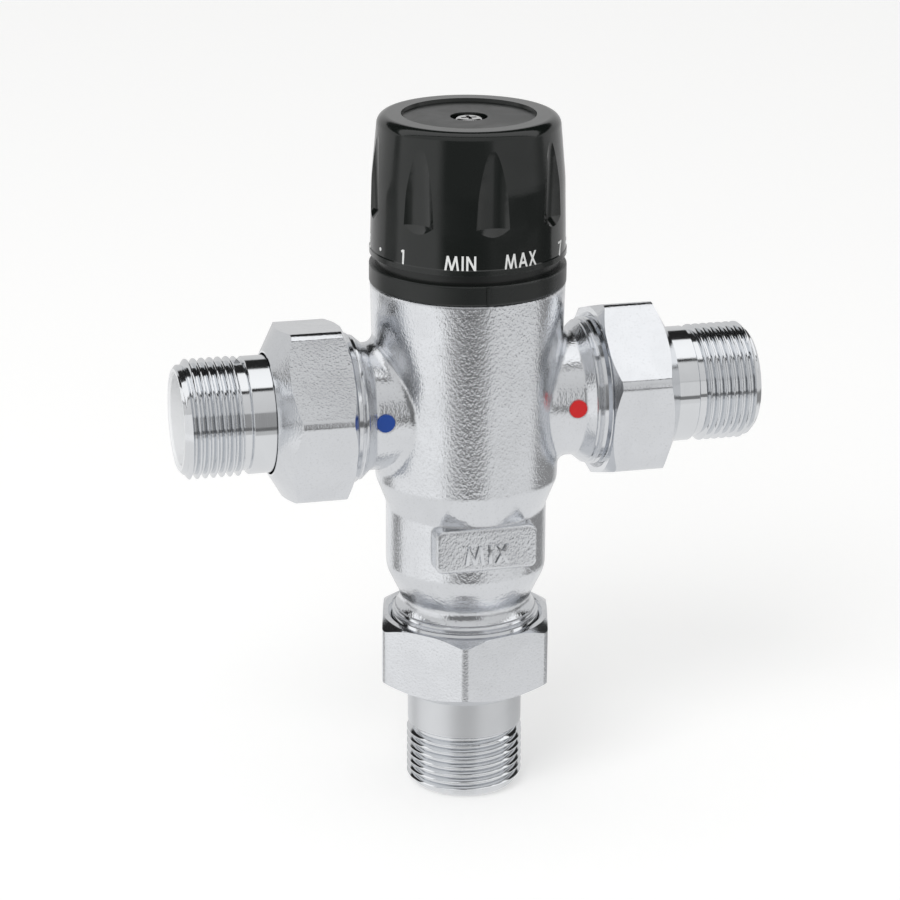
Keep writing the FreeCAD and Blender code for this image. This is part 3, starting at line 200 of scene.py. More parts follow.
class NodeGroups:
    """Shader node groups that several finishes share, each built once."""

    def __init__(self) -> None:
        """Builds the groups."""
        self.cast_grain = self._build("cast_grain", ("Vector", "Grain Size"), self._cast_grain)
        self.turning = self._build("turning_marks", ("Along", "Pitch"), self._turning)
        self.handling = self._build("handling", ("Vector", "Patch Size"), self._handling)

    @staticmethod
    def _build(
        name: str, inputs: Sequence[str], fill: Callable[[NodeBench, bpy.types.Node], object]
    ) -> bpy.types.NodeTree:
        """Makes a group with one output named Height.

        Args:
            name: The group's name.
            inputs: The names of its inputs.
            fill: Adds its nodes and gives the height's socket.

        Returns:
            The group.
        """
        tree = bpy.data.node_groups.new(name, "ShaderNodeTree")
        for label in inputs:
            kind = "NodeSocketVector" if label == "Vector" else "NodeSocketFloat"
            tree.interface.new_socket(name=label, in_out="INPUT", socket_type=kind)
        tree.interface.new_socket(name="Height", in_out="OUTPUT", socket_type="NodeSocketFloat")
        bench = NodeBench(tree)
        result = fill(bench, bench.add("NodeGroupInput"))
        bench.add("NodeGroupOutput", {"Height": result})
        return tree

    @staticmethod
    def _cast_grain(bench: NodeBench, given: bpy.types.Node) -> bpy.types.NodeSocket:
        """Blasted casting skin: rounded grains of two sizes.

        Args:
            bench: The group's nodes.
            given: Its inputs.

        Returns:
            The height's socket.
        """
        vector = given.outputs["Vector"]
        scale = bench.math("DIVIDE", 1.0, given.outputs["Grain Size"])
        grain = {"Vector": vector, "Scale": scale, "Detail": 1.5, "Roughness": 0.6}
        fine = bench.add("ShaderNodeTexNoise", grain)
        half = bench.math("MULTIPLY", scale, 0.55)
        cells = bench.add(
            "ShaderNodeTexVoronoi",
            {"Vector": vector, "Scale": half, "Smoothness": 0.6},
            feature="SMOOTH_F1",
        )
        coarse = bench.math("MULTIPLY", cells.outputs["Distance"], 0.7)
        return bench.math("ADD", fine.outputs["Fac"], coarse)

    @staticmethod
    def _turning(bench: NodeBench, given: bpy.types.Node) -> bpy.types.NodeSocket:
        """Fine rings that a lathe tool leaves, as a height along the axis.

        Args:
            bench: The group's nodes.
            given: Its inputs.

        Returns:
            The height's socket.
        """
        scale = bench.math("DIVIDE", 1.0, given.outputs["Pitch"])
        rings = bench.add(
            "ShaderNodeTexNoise",
            {"W": given.outputs["Along"], "Scale": scale, "Detail": 3.0, "Roughness": 0.7},
            noise_dimensions="1D",
        )
        return rings.outputs["Fac"]

    @staticmethod
    def _handling(bench: NodeBench, given: bpy.types.Node) -> bpy.types.NodeSocket:
        """Soft patches where a surface was wiped or handled.

        Args:
            bench: The group's nodes.
            given: Its inputs.

        Returns:
            The height's socket.
        """
        scale = bench.math("DIVIDE", 1.0, given.outputs["Patch Size"])
        patches = bench.add(
            "ShaderNodeTexNoise",
            {"Vector": given.outputs["Vector"], "Scale": scale, "Detail": 4.0, "Distortion": 0.6},
        )
        return bench.fade(patches.outputs["Fac"], 0.3, 0.7)


GROUPS = NodeGroups()


# ---------------------------------------------------------------------------------------------
# finishes
# ---------------------------------------------------------------------------------------------


@dataclass
class Canvas:
    """A material's nodes while a finish is laid on."""

    bench: NodeBench
    shader: bpy.types.Node
    place: bpy.types.NodeSocket
    colour: bpy.types.NodeSocket
    rough: bpy.types.NodeSocket

    def relief(self, layers: Sequence[tuple[object, float]], soft_edge: float = 0.0) -> None:
        """Feeds the shader's normal.

        Args:
            layers: Bumps, each a (height, depth in metres) pair.
            soft_edge: Radius in metres that sharp edges seem to have.
        """
        normal = None
        if soft_edge:
            bevel = self.bench.add("ShaderNodeBevel", {"Radius": soft_edge}, samples=4)
            normal = bevel.outputs["Normal"]
        for height, depth in layers:
            inputs = {"Height": height, "Distance": depth}
            if normal is not None:
                inputs["Normal"] = normal
            normal = self.bench.add("ShaderNodeBump", inputs).outputs["Normal"]
        self.bench.tree.links.new(normal, self.shader.inputs["Normal"])


@dataclass(frozen=True)
class Finish:
    """What every finish has: its slot, its colour and how evenly it shines."""

    name: str
    slot: Slot
    colour: Colour
    roughness: float
    swing: float = 0.05  # how far roughness wanders from place to place
    patch: float = 9 * MM
    tone: float = 0.03  # how far the colour darkens in the same patches

    def build(self) -> bpy.types.Material:
        """Makes the material.

        Returns:
            The material, with its colour, roughness and relief from nodes.
        """
        material = bpy.data.materials.new(self.name)
        material.use_nodes = True
        bench = NodeBench(material.node_tree)
        shader = material.node_tree.nodes["Principled BSDF"]
        place = bench.add("ShaderNodeTexCoord").outputs["Object"]
        patches = bench.group(GROUPS.handling, {"Vector": place, "Patch Size": self.patch})
        colour = bench.mix(patches, self.colour + (1.0,), self.darker(self.tone))
        low, high = self.roughness - self.swing, self.roughness + self.swing
        rough = bench.fade(patches, 0.0, 1.0, low, high)
        self.dress(Canvas(bench, shader, place, colour, rough))
        return material

    def darker(self, share: float) -> tuple[float, ...]:
        """The finish's colour with a share of it taken away."""
        return tuple(channel * (1 - share) for channel in self.colour) + (1.0,)

    def dress(self, canvas: Canvas) -> None:
        """Wires colour and roughness to the shader; a subclass adds its relief."""
        canvas.bench.tree.links.new(canvas.colour, canvas.shader.inputs["Base Color"])
        canvas.bench.tree.links.new(canvas.rough, canvas.shader.inputs["Roughness"])


@dataclass(frozen=True)
class GrainedMetal(Finish):
    """Metal with a blasted or forged skin."""

    grain: float = 0.25 * MM
    depth: float = 0.03 * MM
    speckle: float = 0.1  # how far the painted shade darkens the grains' hollows
    hollow: float = 1.0  # how fully the deepest hollows take that painted shade

    def dress(self, canvas: Canvas) -> None:
        """Adds the grains to bare metal.

        Args:
            canvas: The material's nodes.
        """
        grains = self.lay_grains(canvas, canvas.place)
        super().dress(canvas)
        canvas.shader.inputs["Metallic"].default_value = 1.0
        canvas.relief([(grains, self.depth)])

    def lay_grains(self, canvas: Canvas, place: bpy.types.NodeSocket) -> bpy.types.NodeSocket:
        """Breaks up the colour with grains, painting shade into their hollows.

        Args:
            canvas: The material's nodes.
            place: The coordinates that the grains follow.

        Returns:
            The grains' height.
        """
        inputs = {"Vector": place, "Grain Size": self.grain}
        grains = canvas.bench.group(GROUPS.cast_grain, inputs)
        hollow = canvas.bench.fade(grains, 0.75, 0.45, 0.0, self.hollow)
        # painted shade: the colour darkens where the grains are low, as shade in their hollows
        canvas.colour = canvas.bench.mix(hollow, canvas.colour, self.darker(self.speckle))
        return grains


@dataclass(frozen=True)
class CastSkin(GrainedMetal):
    """Plated casting: blasted all over, turned bright and threaded at its three union ends."""

    # share of the painted shade that the casting's grain hollows take
    hollow: float = 0.8
    grain_squeeze: tuple[float, float, float] = (1.0, 1.0, 0.68)  # taller than wide
    inlet_turned: float = 25.6 * MM  # from the vertical axis outward
    outlet_turned: float = 43.6 * MM  # below this height
    turned_edge: float = 0.3 * MM
    turned_shine: float = 0.45  # share of the roughness that turning leaves
    thread_pitch: float = 1.814 * MM
    thread_depth: float = 0.5 * MM
    ring_pitch: float = 0.16 * MM
    ring_depth: float = 0.006 * MM
    soft_edge: float = 0.7 * MM

    def dress(self, canvas: Canvas) -> None:
        """Fades the grains out where the casting was turned, and cuts rings and thread there.

        Args:
            canvas: The material's nodes.
        """
        bench, edge = canvas.bench, self.turned_edge
        axes = bench.add("ShaderNodeSeparateXYZ", {"Vector": canvas.place}).outputs
        side = bench.math("ABSOLUTE", axes["X"])
        on_arm = bench.fade(side, self.inlet_turned, self.inlet_turned + edge)
        on_outlet = bench.fade(axes["Z"], self.outlet_turned, self.outlet_turned - edge)
        turned = bench.math("MAXIMUM", on_arm, on_outlet)
        cast = bench.math("SUBTRACT", 1.0, turned)
        squeeze = {0: canvas.place, 1: self.grain_squeeze}
        squeezed = bench.add("ShaderNodeVectorMath", squeeze, operation="MULTIPLY")
        grains = self.lay_grains(canvas, squeezed.outputs["Vector"])
        left = bench.math("MULTIPLY_ADD", turned, self.turned_shine - 1.0, 1.0)
        canvas.rough = bench.math("MULTIPLY", canvas.rough, left)
        Finish.dress(self, canvas)
        canvas.shader.inputs["Metallic"].default_value = 1.0
        along = bench.add("ShaderNodeMix", {0: on_outlet, 2: side, 3: axes["Z"]}).outputs[0]
        rings = bench.group(GROUPS.turning, {"Along": along, "Pitch": self.ring_pitch})
        half = self.thread_pitch / 2
        wave = bench.math("DIVIDE", bench.math("PINGPONG", along, half), half)
        layers = [
            (bench.math("MULTIPLY", grains, cast), self.depth),
            (bench.math("MULTIPLY", rings, turned), self.ring_depth),
            (bench.math("MULTIPLY", wave, turned), self.thread_depth),
        ]
        canvas.relief(layers, self.soft_edge)


@dataclass(frozen=True)
class TurnedMetal(Finish):
    """Bright metal turned about one axis."""

    axis: str = "X"
    pitch: float = 0.2 * MM
    depth: float = 0.004 * MM
    bore_radius: float = 0.0  # inside this radius the plating is matt, and pale as painted light for the lit bore
    bore_edge: float = 0.1 * MM
    bore_height: float = 92 * MM
    # near-white painted light for the brightly lit inside of the bore
    bore_colour: Colour = (0.95, 0.96, 0.97)
    bore_roughness: float = 0.5
    satin_above: float = 1.0  # along the axis; beyond it the metal is satin
    satin_edge: float = 0.2 * MM
    satin_roughness: float = 0.38

    def dress(self, canvas: Canvas) -> None:
        """Adds the tool's fine rings, the satin length and, in a bore, matt plating with a pale
        painted light.

        Args:
            canvas: The material's nodes.
        """
        bench = canvas.bench
        axes = bench.add("ShaderNodeSeparateXYZ", {"Vector": canvas.place}).outputs
        along = axes[self.axis]
        canvas.shader.inputs["Metallic"].default_value = 1.0
        if self.bore_radius:
            self._line_bore(canvas, axes)
        start, end = self.satin_above, self.satin_above + self.satin_edge
        satin = bench.fade(along, start, end, 0.0, self.satin_roughness)
        canvas.rough = bench.math("MAXIMUM", canvas.rough, satin)
        super().dress(canvas)
        rings = bench.group(GROUPS.turning, {"Along": along, "Pitch": self.pitch})
        canvas.relief([(rings, self.depth)])

    def _line_bore(self, canvas: Canvas, axes: bpy.types.bpy_prop_collection) -> None:
        """Makes the metal matt inside the bore's radius, and paints it pale there as light falling
        in the bore.

        Args:
            canvas: The material's nodes.
            axes: The sockets of the three coordinates.
        """
        bench = canvas.bench
        across = axes["X"]
        if self.axis == "X":
            across = bench.math("SUBTRACT", axes["Z"], self.bore_height)
        radius = bench.distance(across, axes["Y"])
        metal = bench.fade(radius, self.bore_radius, self.bore_radius + self.bore_edge)
        # painted light: inside the bore the colour turns near-white and non-metal, so the bore
        # shows bright
        canvas.colour = bench.mix(metal, self.bore_colour + (1.0,), canvas.colour)
        matt = bench.fade(metal, 0.0, 1.0, self.bore_roughness, 0.0)
        canvas.rough = bench.math("MAXIMUM", canvas.rough, matt)
        bench.tree.links.new(metal, canvas.shader.inputs["Metallic"])


@dataclass(frozen=True)
class Moulded(Finish):
    """Plastic, rubber, ink or fibre with a fine moulded skin."""

    grain: float = 0.3 * MM
    depth: float = 0.004 * MM
    gloss_coat: float = 0.0
    coat_roughness: float = 0.05

    def dress(self, canvas: Canvas) -> None:
        """Adds a faint skin and, where it is glossy, a coat.

        Args:
            canvas: The material's nodes.
        """
        super().dress(canvas)
        canvas.shader.inputs["Coat Weight"].default_value = self.gloss_coat
        canvas.shader.inputs["Coat Roughness"].default_value = self.coat_roughness
        inputs = {"Vector": canvas.place, "Grain Size": self.grain}
        canvas.relief([(canvas.bench.group(GROUPS.cast_grain, inputs), self.depth)])


@dataclass(frozen=True)
class KnobPlastic(Moulded):
    """The knob's glossy black, satin on the recessed disc of its top."""

    disc_radius: float = 14.8 * MM
    disc_edge: float = 0.1 * MM
    disc_height: float = 156 * MM
    disc_skin: float = 0.05 * MM
    disc_roughness: float = 0.22  # on top of the knob's own

    def dress(self, canvas: Canvas) -> None:
        """Roughens the disc and leaves the rest glossy.

        Args:
            canvas: The material's nodes.
        """
        bench = canvas.bench
        axes = bench.add("ShaderNodeSeparateXYZ", {"Vector": canvas.place}).outputs
        radius = bench.distance(axes["X"], axes["Y"])
        inside = bench.fade(radius, self.disc_radius, self.disc_radius - self.disc_edge)
        above = bench.fade(axes["Z"], self.disc_height, self.disc_height + self.disc_skin)
        disc = bench.math("MULTIPLY", inside, above)
        rougher = bench.math("MULTIPLY", disc, self.disc_roughness)
        canvas.rough = bench.math("ADD", canvas.rough, rougher)
        super().dress(canvas)


class Paint:
    """The finishes of this valve, each built once."""

    def __init__(self) -> None:
        """Builds the finishes."""
        nickel, chrome = (0.77, 0.785, 0.81), (0.79, 0.805, 0.825)
        bright, even = 0.13, 0.03
        self.cast = CastSkin(
            "cast_nickel", Slot.CAST_PLATING, nickel, bright, even, grain=0.34 * MM, depth=0.04 * MM
        ).build()
        self.word = GrainedMetal(
            "word_nickel",
            Slot.CAST_PLATING,
            nickel,
            bright,
            even,
            grain=0.34 * MM,
            depth=0.012 * MM,
        ).build()
        self.nut = GrainedMetal(
            "nut_nickel", Slot.NUT_PLATING, nickel, bright, even, grain=0.32 * MM, depth=0.02 * MM
        ).build()
        tail = partial(
            TurnedMetal, slot=Slot.TURNED_PLATING, colour=chrome, roughness=0.09, swing=even
        )
        self.tails = {
            "X": tail("turned_chrome_x", axis="X", bore_radius=10.6 * MM).build(),
            "Z": tail(
                "turned_chrome_z", axis="Z", bore_radius=10.6 * MM, satin_above=15 * MM
            ).build(),
        }
        self.knob = KnobPlastic(
            "knob_black", Slot.BLACK_PLASTIC, (0.006, 0.008, 0.007), bright, even, gloss_coat=0.1
        ).build()
        self.ring = Moulded(
            "ring_black", Slot.BLACK_PLASTIC, (0.009, 0.011, 0.01), 0.3, even
        ).build()
        self.print = Moulded(
            "print_white", Slot.WHITE_PLASTIC, (0.82, 0.83, 0.82), 0.45, grain=0.1 * MM
        ).build()
        self.white = Moulded("acetal_white", Slot.WHITE_PLASTIC, (0.78, 0.77, 0.72), 0.4).build()
        self.blue = Moulded("mark_blue", Slot.BLUE_PLASTIC, (0.003, 0.055, 0.32), 0.45).build()
        self.red = Moulded("mark_red", Slot.RED_PLASTIC, (0.68, 0.008, 0.01), 0.45).build()
        self.brass = TurnedMetal(
            "turned_brass", Slot.BRASS, (0.72, 0.5, 0.22), 0.25, axis="Z", depth=0.006 * MM
        ).build()
        self.steel = TurnedMetal(
            "bright_steel", Slot.STEEL, (0.66, 0.66, 0.66), 0.16, axis="Z", pitch=0.1 * MM
        ).build()
        self.rubber = Moulded(
            "seal_rubber", Slot.RUBBER, (0.02, 0.02, 0.021), 0.6, depth=0.01 * MM
        ).build()
        self.fibre = Moulded(
            "gasket_fibre", Slot.FIBRE, (0.42, 0.16, 0.1), 0.75, grain=0.6 * MM, depth=0.03 * MM
        ).build()

    def by_slot(self, slot: Slot) -> bpy.types.Material:
        """Picks the finish of a CAD node.

        Args:
            slot: The node's slot in the record.

        Returns:
            The material.
        """
        finishes = {
            Slot.CAST_PLATING: self.cast,
            Slot.NUT_PLATING: self.nut,
            Slot.TURNED_PLATING: self.tails["X"],
            Slot.BLACK_PLASTIC: self.ring,
            Slot.BLUE_PLASTIC: self.blue,
            Slot.RED_PLASTIC: self.red,
            Slot.WHITE_PLASTIC: self.white,
            Slot.BRASS: self.brass,
            Slot.STEEL: self.steel,
            Slot.RUBBER: self.rubber,
            Slot.FIBRE: self.fibre,
        }
        return finishes[slot]


# ---------------------------------------------------------------------------------------------
# modelling
# ---------------------------------------------------------------------------------------------


class Workshop:
    """Hand tools: every piece is started, shaped and finished with these."""

    @staticmethod
    def clear() -> None:
        """Leaves edit mode and deselects everything."""
        if bpy.context.object and bpy.context.object.mode != "OBJECT":
            bpy.ops.object.mode_set(mode="OBJECT")
        bpy.ops.object.select_all(action="DESELECT")

    @staticmethod
    def take(piece: bpy.types.Object) -> bpy.types.Object:
        """Selects one object alone and makes it active.

        Args:
            piece: The object.

        Returns:
            The same object.
        """
        Workshop.clear()
        piece.select_set(True)
        bpy.context.view_layer.objects.active = piece
        return piece

    @staticmethod
    def lathe(name: str, outline: Sequence[Point2], sides: int = 128) -> bpy.types.Object:
        """Turns a closed outline about +Z.

        Args:
            name: The piece's name.
            outline: (radius, height) corners in order round the section.
            sides: How many steps go round.

        Returns:
            The closed ring-shaped piece.
        """
        Workshop.clear()
        radius, height = outline[0]
        bpy.ops.mesh.primitive_circle_add(
            vertices=sides, radius=radius, location=(0, 0, height), enter_editmode=True
        )
        for next_radius, next_height in list(outline[1:]) + [outline[0]]:
            lift = {"value": (0, 0, next_height - height)}
            bpy.ops.mesh.extrude_region_move(TRANSFORM_OT_translate=lift)
            ratio = next_radius / radius
            if abs(ratio - 1) > 1e-9:
                bpy.ops.transform.resize(
                    value=(ratio, ratio, 1), center_override=(0, 0, next_height)
                )
            radius, height = next_radius, next_height
        bpy.ops.mesh.select_all(action="SELECT")
        bpy.ops.mesh.remove_doubles(threshold=1e-7)
        bpy.ops.mesh.normals_make_consistent(inside=False)
        bpy.ops.object.mode_set(mode="OBJECT")
        return Workshop.settle(bpy.context.object, name)

    @staticmethod
    def wind(
        name: str, section: Sequence[Point2], pitch: float, turns: int, steps: int
    ) -> bpy.types.Object:
        """Winds a closed section up and round +Z.

        Args:
            name: The piece's name.
            section: (radius, height) corners in order round the section.
            pitch: Rise of each turn.
            turns: How many turns.
            steps: How many steps make one turn.

        Returns:
            The closed helix.
        """
        Workshop.clear()
        bpy.ops.mesh.primitive_circle_add(vertices=len(section), radius=pitch)
        helix = bpy.context.object
        for vertex, (radius, height) in zip(helix.data.vertices, section):
            vertex.co = (radius, 0, height)
        Workshop.settle(helix, name)
        Workshop.modify(
            helix,
            "SCREW",
            axis="Z",
            angle=math.tau,
            iterations=turns,
            screw_offset=pitch,
            steps=steps,
            render_steps=steps,
            use_merge_vertices=False,
        )
        Workshop.take(helix)
        bpy.ops.object.mode_set(mode="EDIT")
        bpy.ops.mesh.select_all(action="SELECT")
        bpy.ops.mesh.remove_doubles(threshold=1e-7)
        bpy.ops.mesh.fill_holes(sides=len(section) + 1)
        bpy.ops.mesh.normals_make_consistent(inside=False)
        bpy.ops.object.mode_set(mode="OBJECT")
        return helix

    @staticmethod
    def settle(piece: bpy.types.Object, name: str) -> bpy.types.Object:
        """Names a piece and moves its place into its mesh.

        Args:
            piece: The piece.
            name: Its name.

        Returns:
            The same piece.
        """
        piece.name = name
        piece.data.name = name
        Workshop.take(piece)
        bpy.ops.object.transform_apply(location=True, rotation=True, scale=True)
        return piece

    @staticmethod
    def modify(piece: bpy.types.Object, kind: str, **settings: object) -> None:
        """Adds one modifier and applies it.

        Args:
            piece: The piece.
            kind: The modifier's type name.
            settings: Its properties.
        """
        Workshop.take(piece)
        modifier = piece.modifiers.new(kind.title(), kind)
        for key, value in settings.items():
            setattr(modifier, key, value)
        bpy.ops.object.modifier_apply(modifier=modifier.name)

    @staticmethod
    def combine(piece: bpy.types.Object, tool: bpy.types.Object, operation: str) -> None:
        """Cuts, joins or intersects a piece with a tool body, which is used up."""
        Workshop.modify(piece, "BOOLEAN", object=tool, operation=operation, solver="EXACT")
        bpy.data.objects.remove(tool)

    @staticmethod
    def join(pieces: Sequence[bpy.types.Object], name: str) -> bpy.types.Object:
        """Joins several pieces into the first.

        Args:
            pieces: The pieces.
            name: The name of the result.

        Returns:
            The joined piece.
        """
        Workshop.take(pieces[0])
        for piece in pieces[1:]:
            piece.select_set(True)
        bpy.ops.object.join()
        return Workshop.settle(pieces[0], name)

    @staticmethod
    def move(piece: bpy.types.Object, matrix: Matrix) -> None:
        """Moves a piece's mesh; its object stays at the origin."""
        piece.data.transform(matrix)
        piece.data.update()

    @staticmethod
    def smooth(piece: bpy.types.Object, degrees: float = 30.0) -> None:
        """Shades a piece smooth, with sharp edges past an angle."""
        Workshop.take(piece)
        bpy.ops.object.shade_smooth_by_angle(angle=math.radians(degrees))

    @staticmethod
    def ease(piece: bpy.types.Object, width: float) -> None:
        """Breaks a piece's sharp edges and keeps its flats flat to the light.

        Args:
            piece: The piece.
            width: How far from each edge the break starts.
        """
        Workshop.modify(
            piece,
            "BEVEL",
            width=width,
            segments=2,
            limit_method="ANGLE",
            angle_limit=math.radians(25),
        )
        Workshop.smooth(piece)
        Workshop.modify(piece, "WEIGHTED_NORMAL", keep_sharp=True, weight=80)

    @staticmethod
    def slice(piece: bpy.types.Object, step: float) -> None:
        """Cuts a flat piece across its length, so that it can be bent.

        Args:
            piece: The piece, lying along X.
            step: Distance between the cuts.
        """
        Workshop.take(piece)
        spots = [vertex.co.x for vertex in piece.data.vertices]
        place = min(spots) + step / 2
        bpy.ops.object.mode_set(mode="EDIT")
        while place < max(spots):
            bpy.ops.mesh.select_all(action="SELECT")
            bpy.ops.mesh.bisect(plane_co=(place, 0, 0), plane_no=(1, 0, 0))
            place += step
        bpy.ops.object.mode_set(mode="OBJECT")


def arc(centre: Point2, size: Point2, start: float, end: float, steps: int) -> list[Point2]:
    """Points along an ellipse.

    Args:
        centre: Its centre.
        size: Its half width and half height.
        start: Angle of the first point in degrees.
        end: Angle of the last point in degrees.
        steps: How many chords.

    Returns:
        The points in order.
    """
    angles = [math.radians(start + (end - start) * step / steps) for step in range(steps + 1)]
    return [(centre[0] + size[0] * math.cos(a), centre[1] + size[1] * math.sin(a)) for a in angles]


@dataclass
class Lettering:
    """Block letters and figures made of straight bars of one width; a capital is 1 high."""

    stroke: float = 0.165
    gap: float = 0.2

    def strokes(self, sign: str) -> list[list[Point2]]:
        """Looks up one sign.

        Args:
            sign: A letter or a figure.

        Returns:
            The centre lines of its strokes.
        """
        half = self.stroke / 2
        table = {
            "M": [[(0, 0), (0.17, 1), (0.5, 0), (0.83, 1), (1, 0)]],
            "I": [[(0, 0), (0, 1)]],
            "N": [[(0, 0), (0, 1), (0.62, 0), (0.62, 1)]],
            "A": [[(0, 0), (0.36, 1), (0.72, 0)], [(0.14, 0.3), (0.58, 0.3)]],
            "X": [[(0, 0), (0.62, 1)], [(0, 1), (0.62, 0)]],
            "1": [[(0, 0.84), (0.19, 0.97)], [(0.2, 0), (0.2, 1)]],
            "2": [arc((0.27, 0.7), (0.23, 0.22), 165, -25, 7) + [(0.03, half), (0.54, half)]],
            "3": [
                arc((0.25, 0.71), (0.2, 0.205), 155, -90, 7),
                arc((0.25, 0.29), (0.25, 0.21), 90, -155, 8),
            ],
            "4": [[(0.42, 0), (0.42, 1), (0.02, 0.3), (0.6, 0.3)]],
            "5": [
                [(0.5, 1 - half), (0.13, 1 - half), (0.08, 0.53)]
                + arc((0.26, 0.32), (0.26, 0.235), 110, -145, 8)
            ],
            "6": [arc((0.28, 0.31), (0.24, 0.225), 0, 360, 12), [(0.08, 0.42), (0.42, 1)]],
            "7": [[(0, 1 - half), (0.52, 1 - half), (0.17, 0)]],
        }
        return table[sign]

    def word(self, text: str, height: float, width: float, thickness: float) -> bpy.types.Object:
        """Cuts one word in sheet.

        Args:
            text: The word.
            height: Height of its capitals in metres.
            width: Width of the whole word in metres.
            thickness: Thickness of the sheet in metres.

        Returns:
            The word in the XY plane, centred on X, standing on y = 0, centred on z = 0.
        """
        signs, place = [], 0.0
        for sign in text:
            lines = self.strokes(sign)
            signs.append(self._sign(lines, place))
            place += max(x for line in lines for x, _ in line) + self.stroke + self.gap
        word = Workshop.join(signs, f"word_{text}")
        self._trim(word)
        spots = [vertex.co.x for vertex in word.data.vertices]
        low, high = min(spots), max(spots)
        size = Matrix.Diagonal((width / (high - low), height, thickness, 1))
        Workshop.move(word, size @ Matrix.Translation((-(low + high) / 2, 0, 0)))
        return word

    def _sign(self, lines: Sequence[Sequence[Point2]], place: float) -> bpy.types.Object:
        """Welds the bars of one sign together.

        Args:
            lines: The centre lines of its strokes.
            place: Where its left side stands.

        Returns:
            The sign.
        """
        sign = None
        for line in lines:
            points = [Vector((place + x, y, 0)) for x, y in line]
            for index in range(len(points) - 1):
                bar = self._bar(points, index)
                if sign is None:
                    sign = bar
                else:
                    Workshop.combine(sign, bar, "UNION")
        return sign

    def _bar(self, points: Sequence[Vector], index: int) -> bpy.types.Object:
        """Lays a bar between two neighbouring points, long enough to close its corners.

        Args:
            points: The points of one stroke.
            index: Which point the bar starts at.

        Returns:
            The bar.
        """
        first, last = points[index], points[index + 1]
        way = (last - first).normalized()
        first = first - way * self._overrun(points, index)
        last = last + way * self._overrun(points, index + 1)
        Workshop.clear()
        bpy.ops.mesh.primitive_cube_add(
            size=1,
            location=(first + last) / 2,
            rotation=(0, 0, math.atan2(way.y, way.x)),
            scale=((last - first).length, self.stroke, 1),
        )
        return Workshop.settle(bpy.context.object, "bar")

    def _overrun(self, points: Sequence[Vector], index: int) -> float:
        """Finds how far a bar runs past one of its points.

        Args:
            points: The points of one stroke.
            index: Which point.

        Returns:
            The length of a mitre at a corner, more at the top and the foot.
        """
        most = self.stroke * 0.7
        if points[index].y <= 0 or points[index].y >= 1:
            return most
        if index in (0, len(points) - 1):
            return 0.0
        before = points[index] - points[index - 1]
        after = points[index + 1] - points[index]
        return min(self.stroke / 2 * math.tan(before.angle(after) / 2), most)

    @staticmethod
    def _trim(word: bpy.types.Object) -> None:
        """Cuts a word off level at its foot and its top.

        Args:
            word: The word, standing on y = 0 and 1 high.
        """
        Workshop.take(word)
        bpy.ops.object.mode_set(mode="EDIT")
        for level, way in ((0, -1), (1, 1)):
            bpy.ops.mesh.select_all(action="SELECT")
            bpy.ops.mesh.bisect(
                plane_co=(0, level, 0), plane_no=(0, way, 0), use_fill=True, clear_outer=True
            )
        bpy.ops.mesh.select_all(action="SELECT")
        bpy.ops.mesh.normals_make_consistent(inside=False)
        bpy.ops.object.mode_set(mode="OBJECT")


def hand_over(
    piece: bpy.types.Object,
    body: str,
    material: bpy.types.Material,
    replaced: Sequence[str] = (),
) -> bpy.types.Object:
    """Gives a finished piece its material, hangs it on its body and hides the CAD nodes that it
    stands for.

    Args:
        piece: The finished piece, at the origin.
        body: The body that it rides on.
        material: Its material.
        replaced: The CAD nodes that it stands for.

    Returns:
        The same piece.
    """
    piece.data.materials.clear()
    piece.data.materials.append(material)
    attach(piece, body)
    if replaced:
        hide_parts(*replaced)
    LOG.info("%s rides on %s", piece.name, body)
    return piece


def port_span(port: Port, node: str) -> Point2:
    """Measures how far a node reaches along its union.

    Args:
        port: The union.
        node: The CAD node.

    Returns:
        Where it starts and ends, in metres from the crossing of the axes.
    """
    low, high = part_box(node)
    axis = "XYZ".index(port.axis)
    centre = Assembly.crossing()[axis]
    ends = sorted(abs(corner[axis] - centre) for corner in (low, high))
    return ends[0], ends[1]


# ---------------------------------------------------------------------------------------------
# sub-assemblies
# ---------------------------------------------------------------------------------------------


@dataclass
class Assembly:
    """A group of pieces of the valve."""

    paint: Paint

    @staticmethod
    def crossing() -> Vector:
        """Where the inlets' axis crosses the barrel's axis."""
        low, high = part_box("cold_tail")
        return Vector((0, 0, (low.z + high.z) / 2))

    def build(self) -> list[bpy.types.Object]:
        """Builds the pieces and returns them."""
        raise NotImplementedError


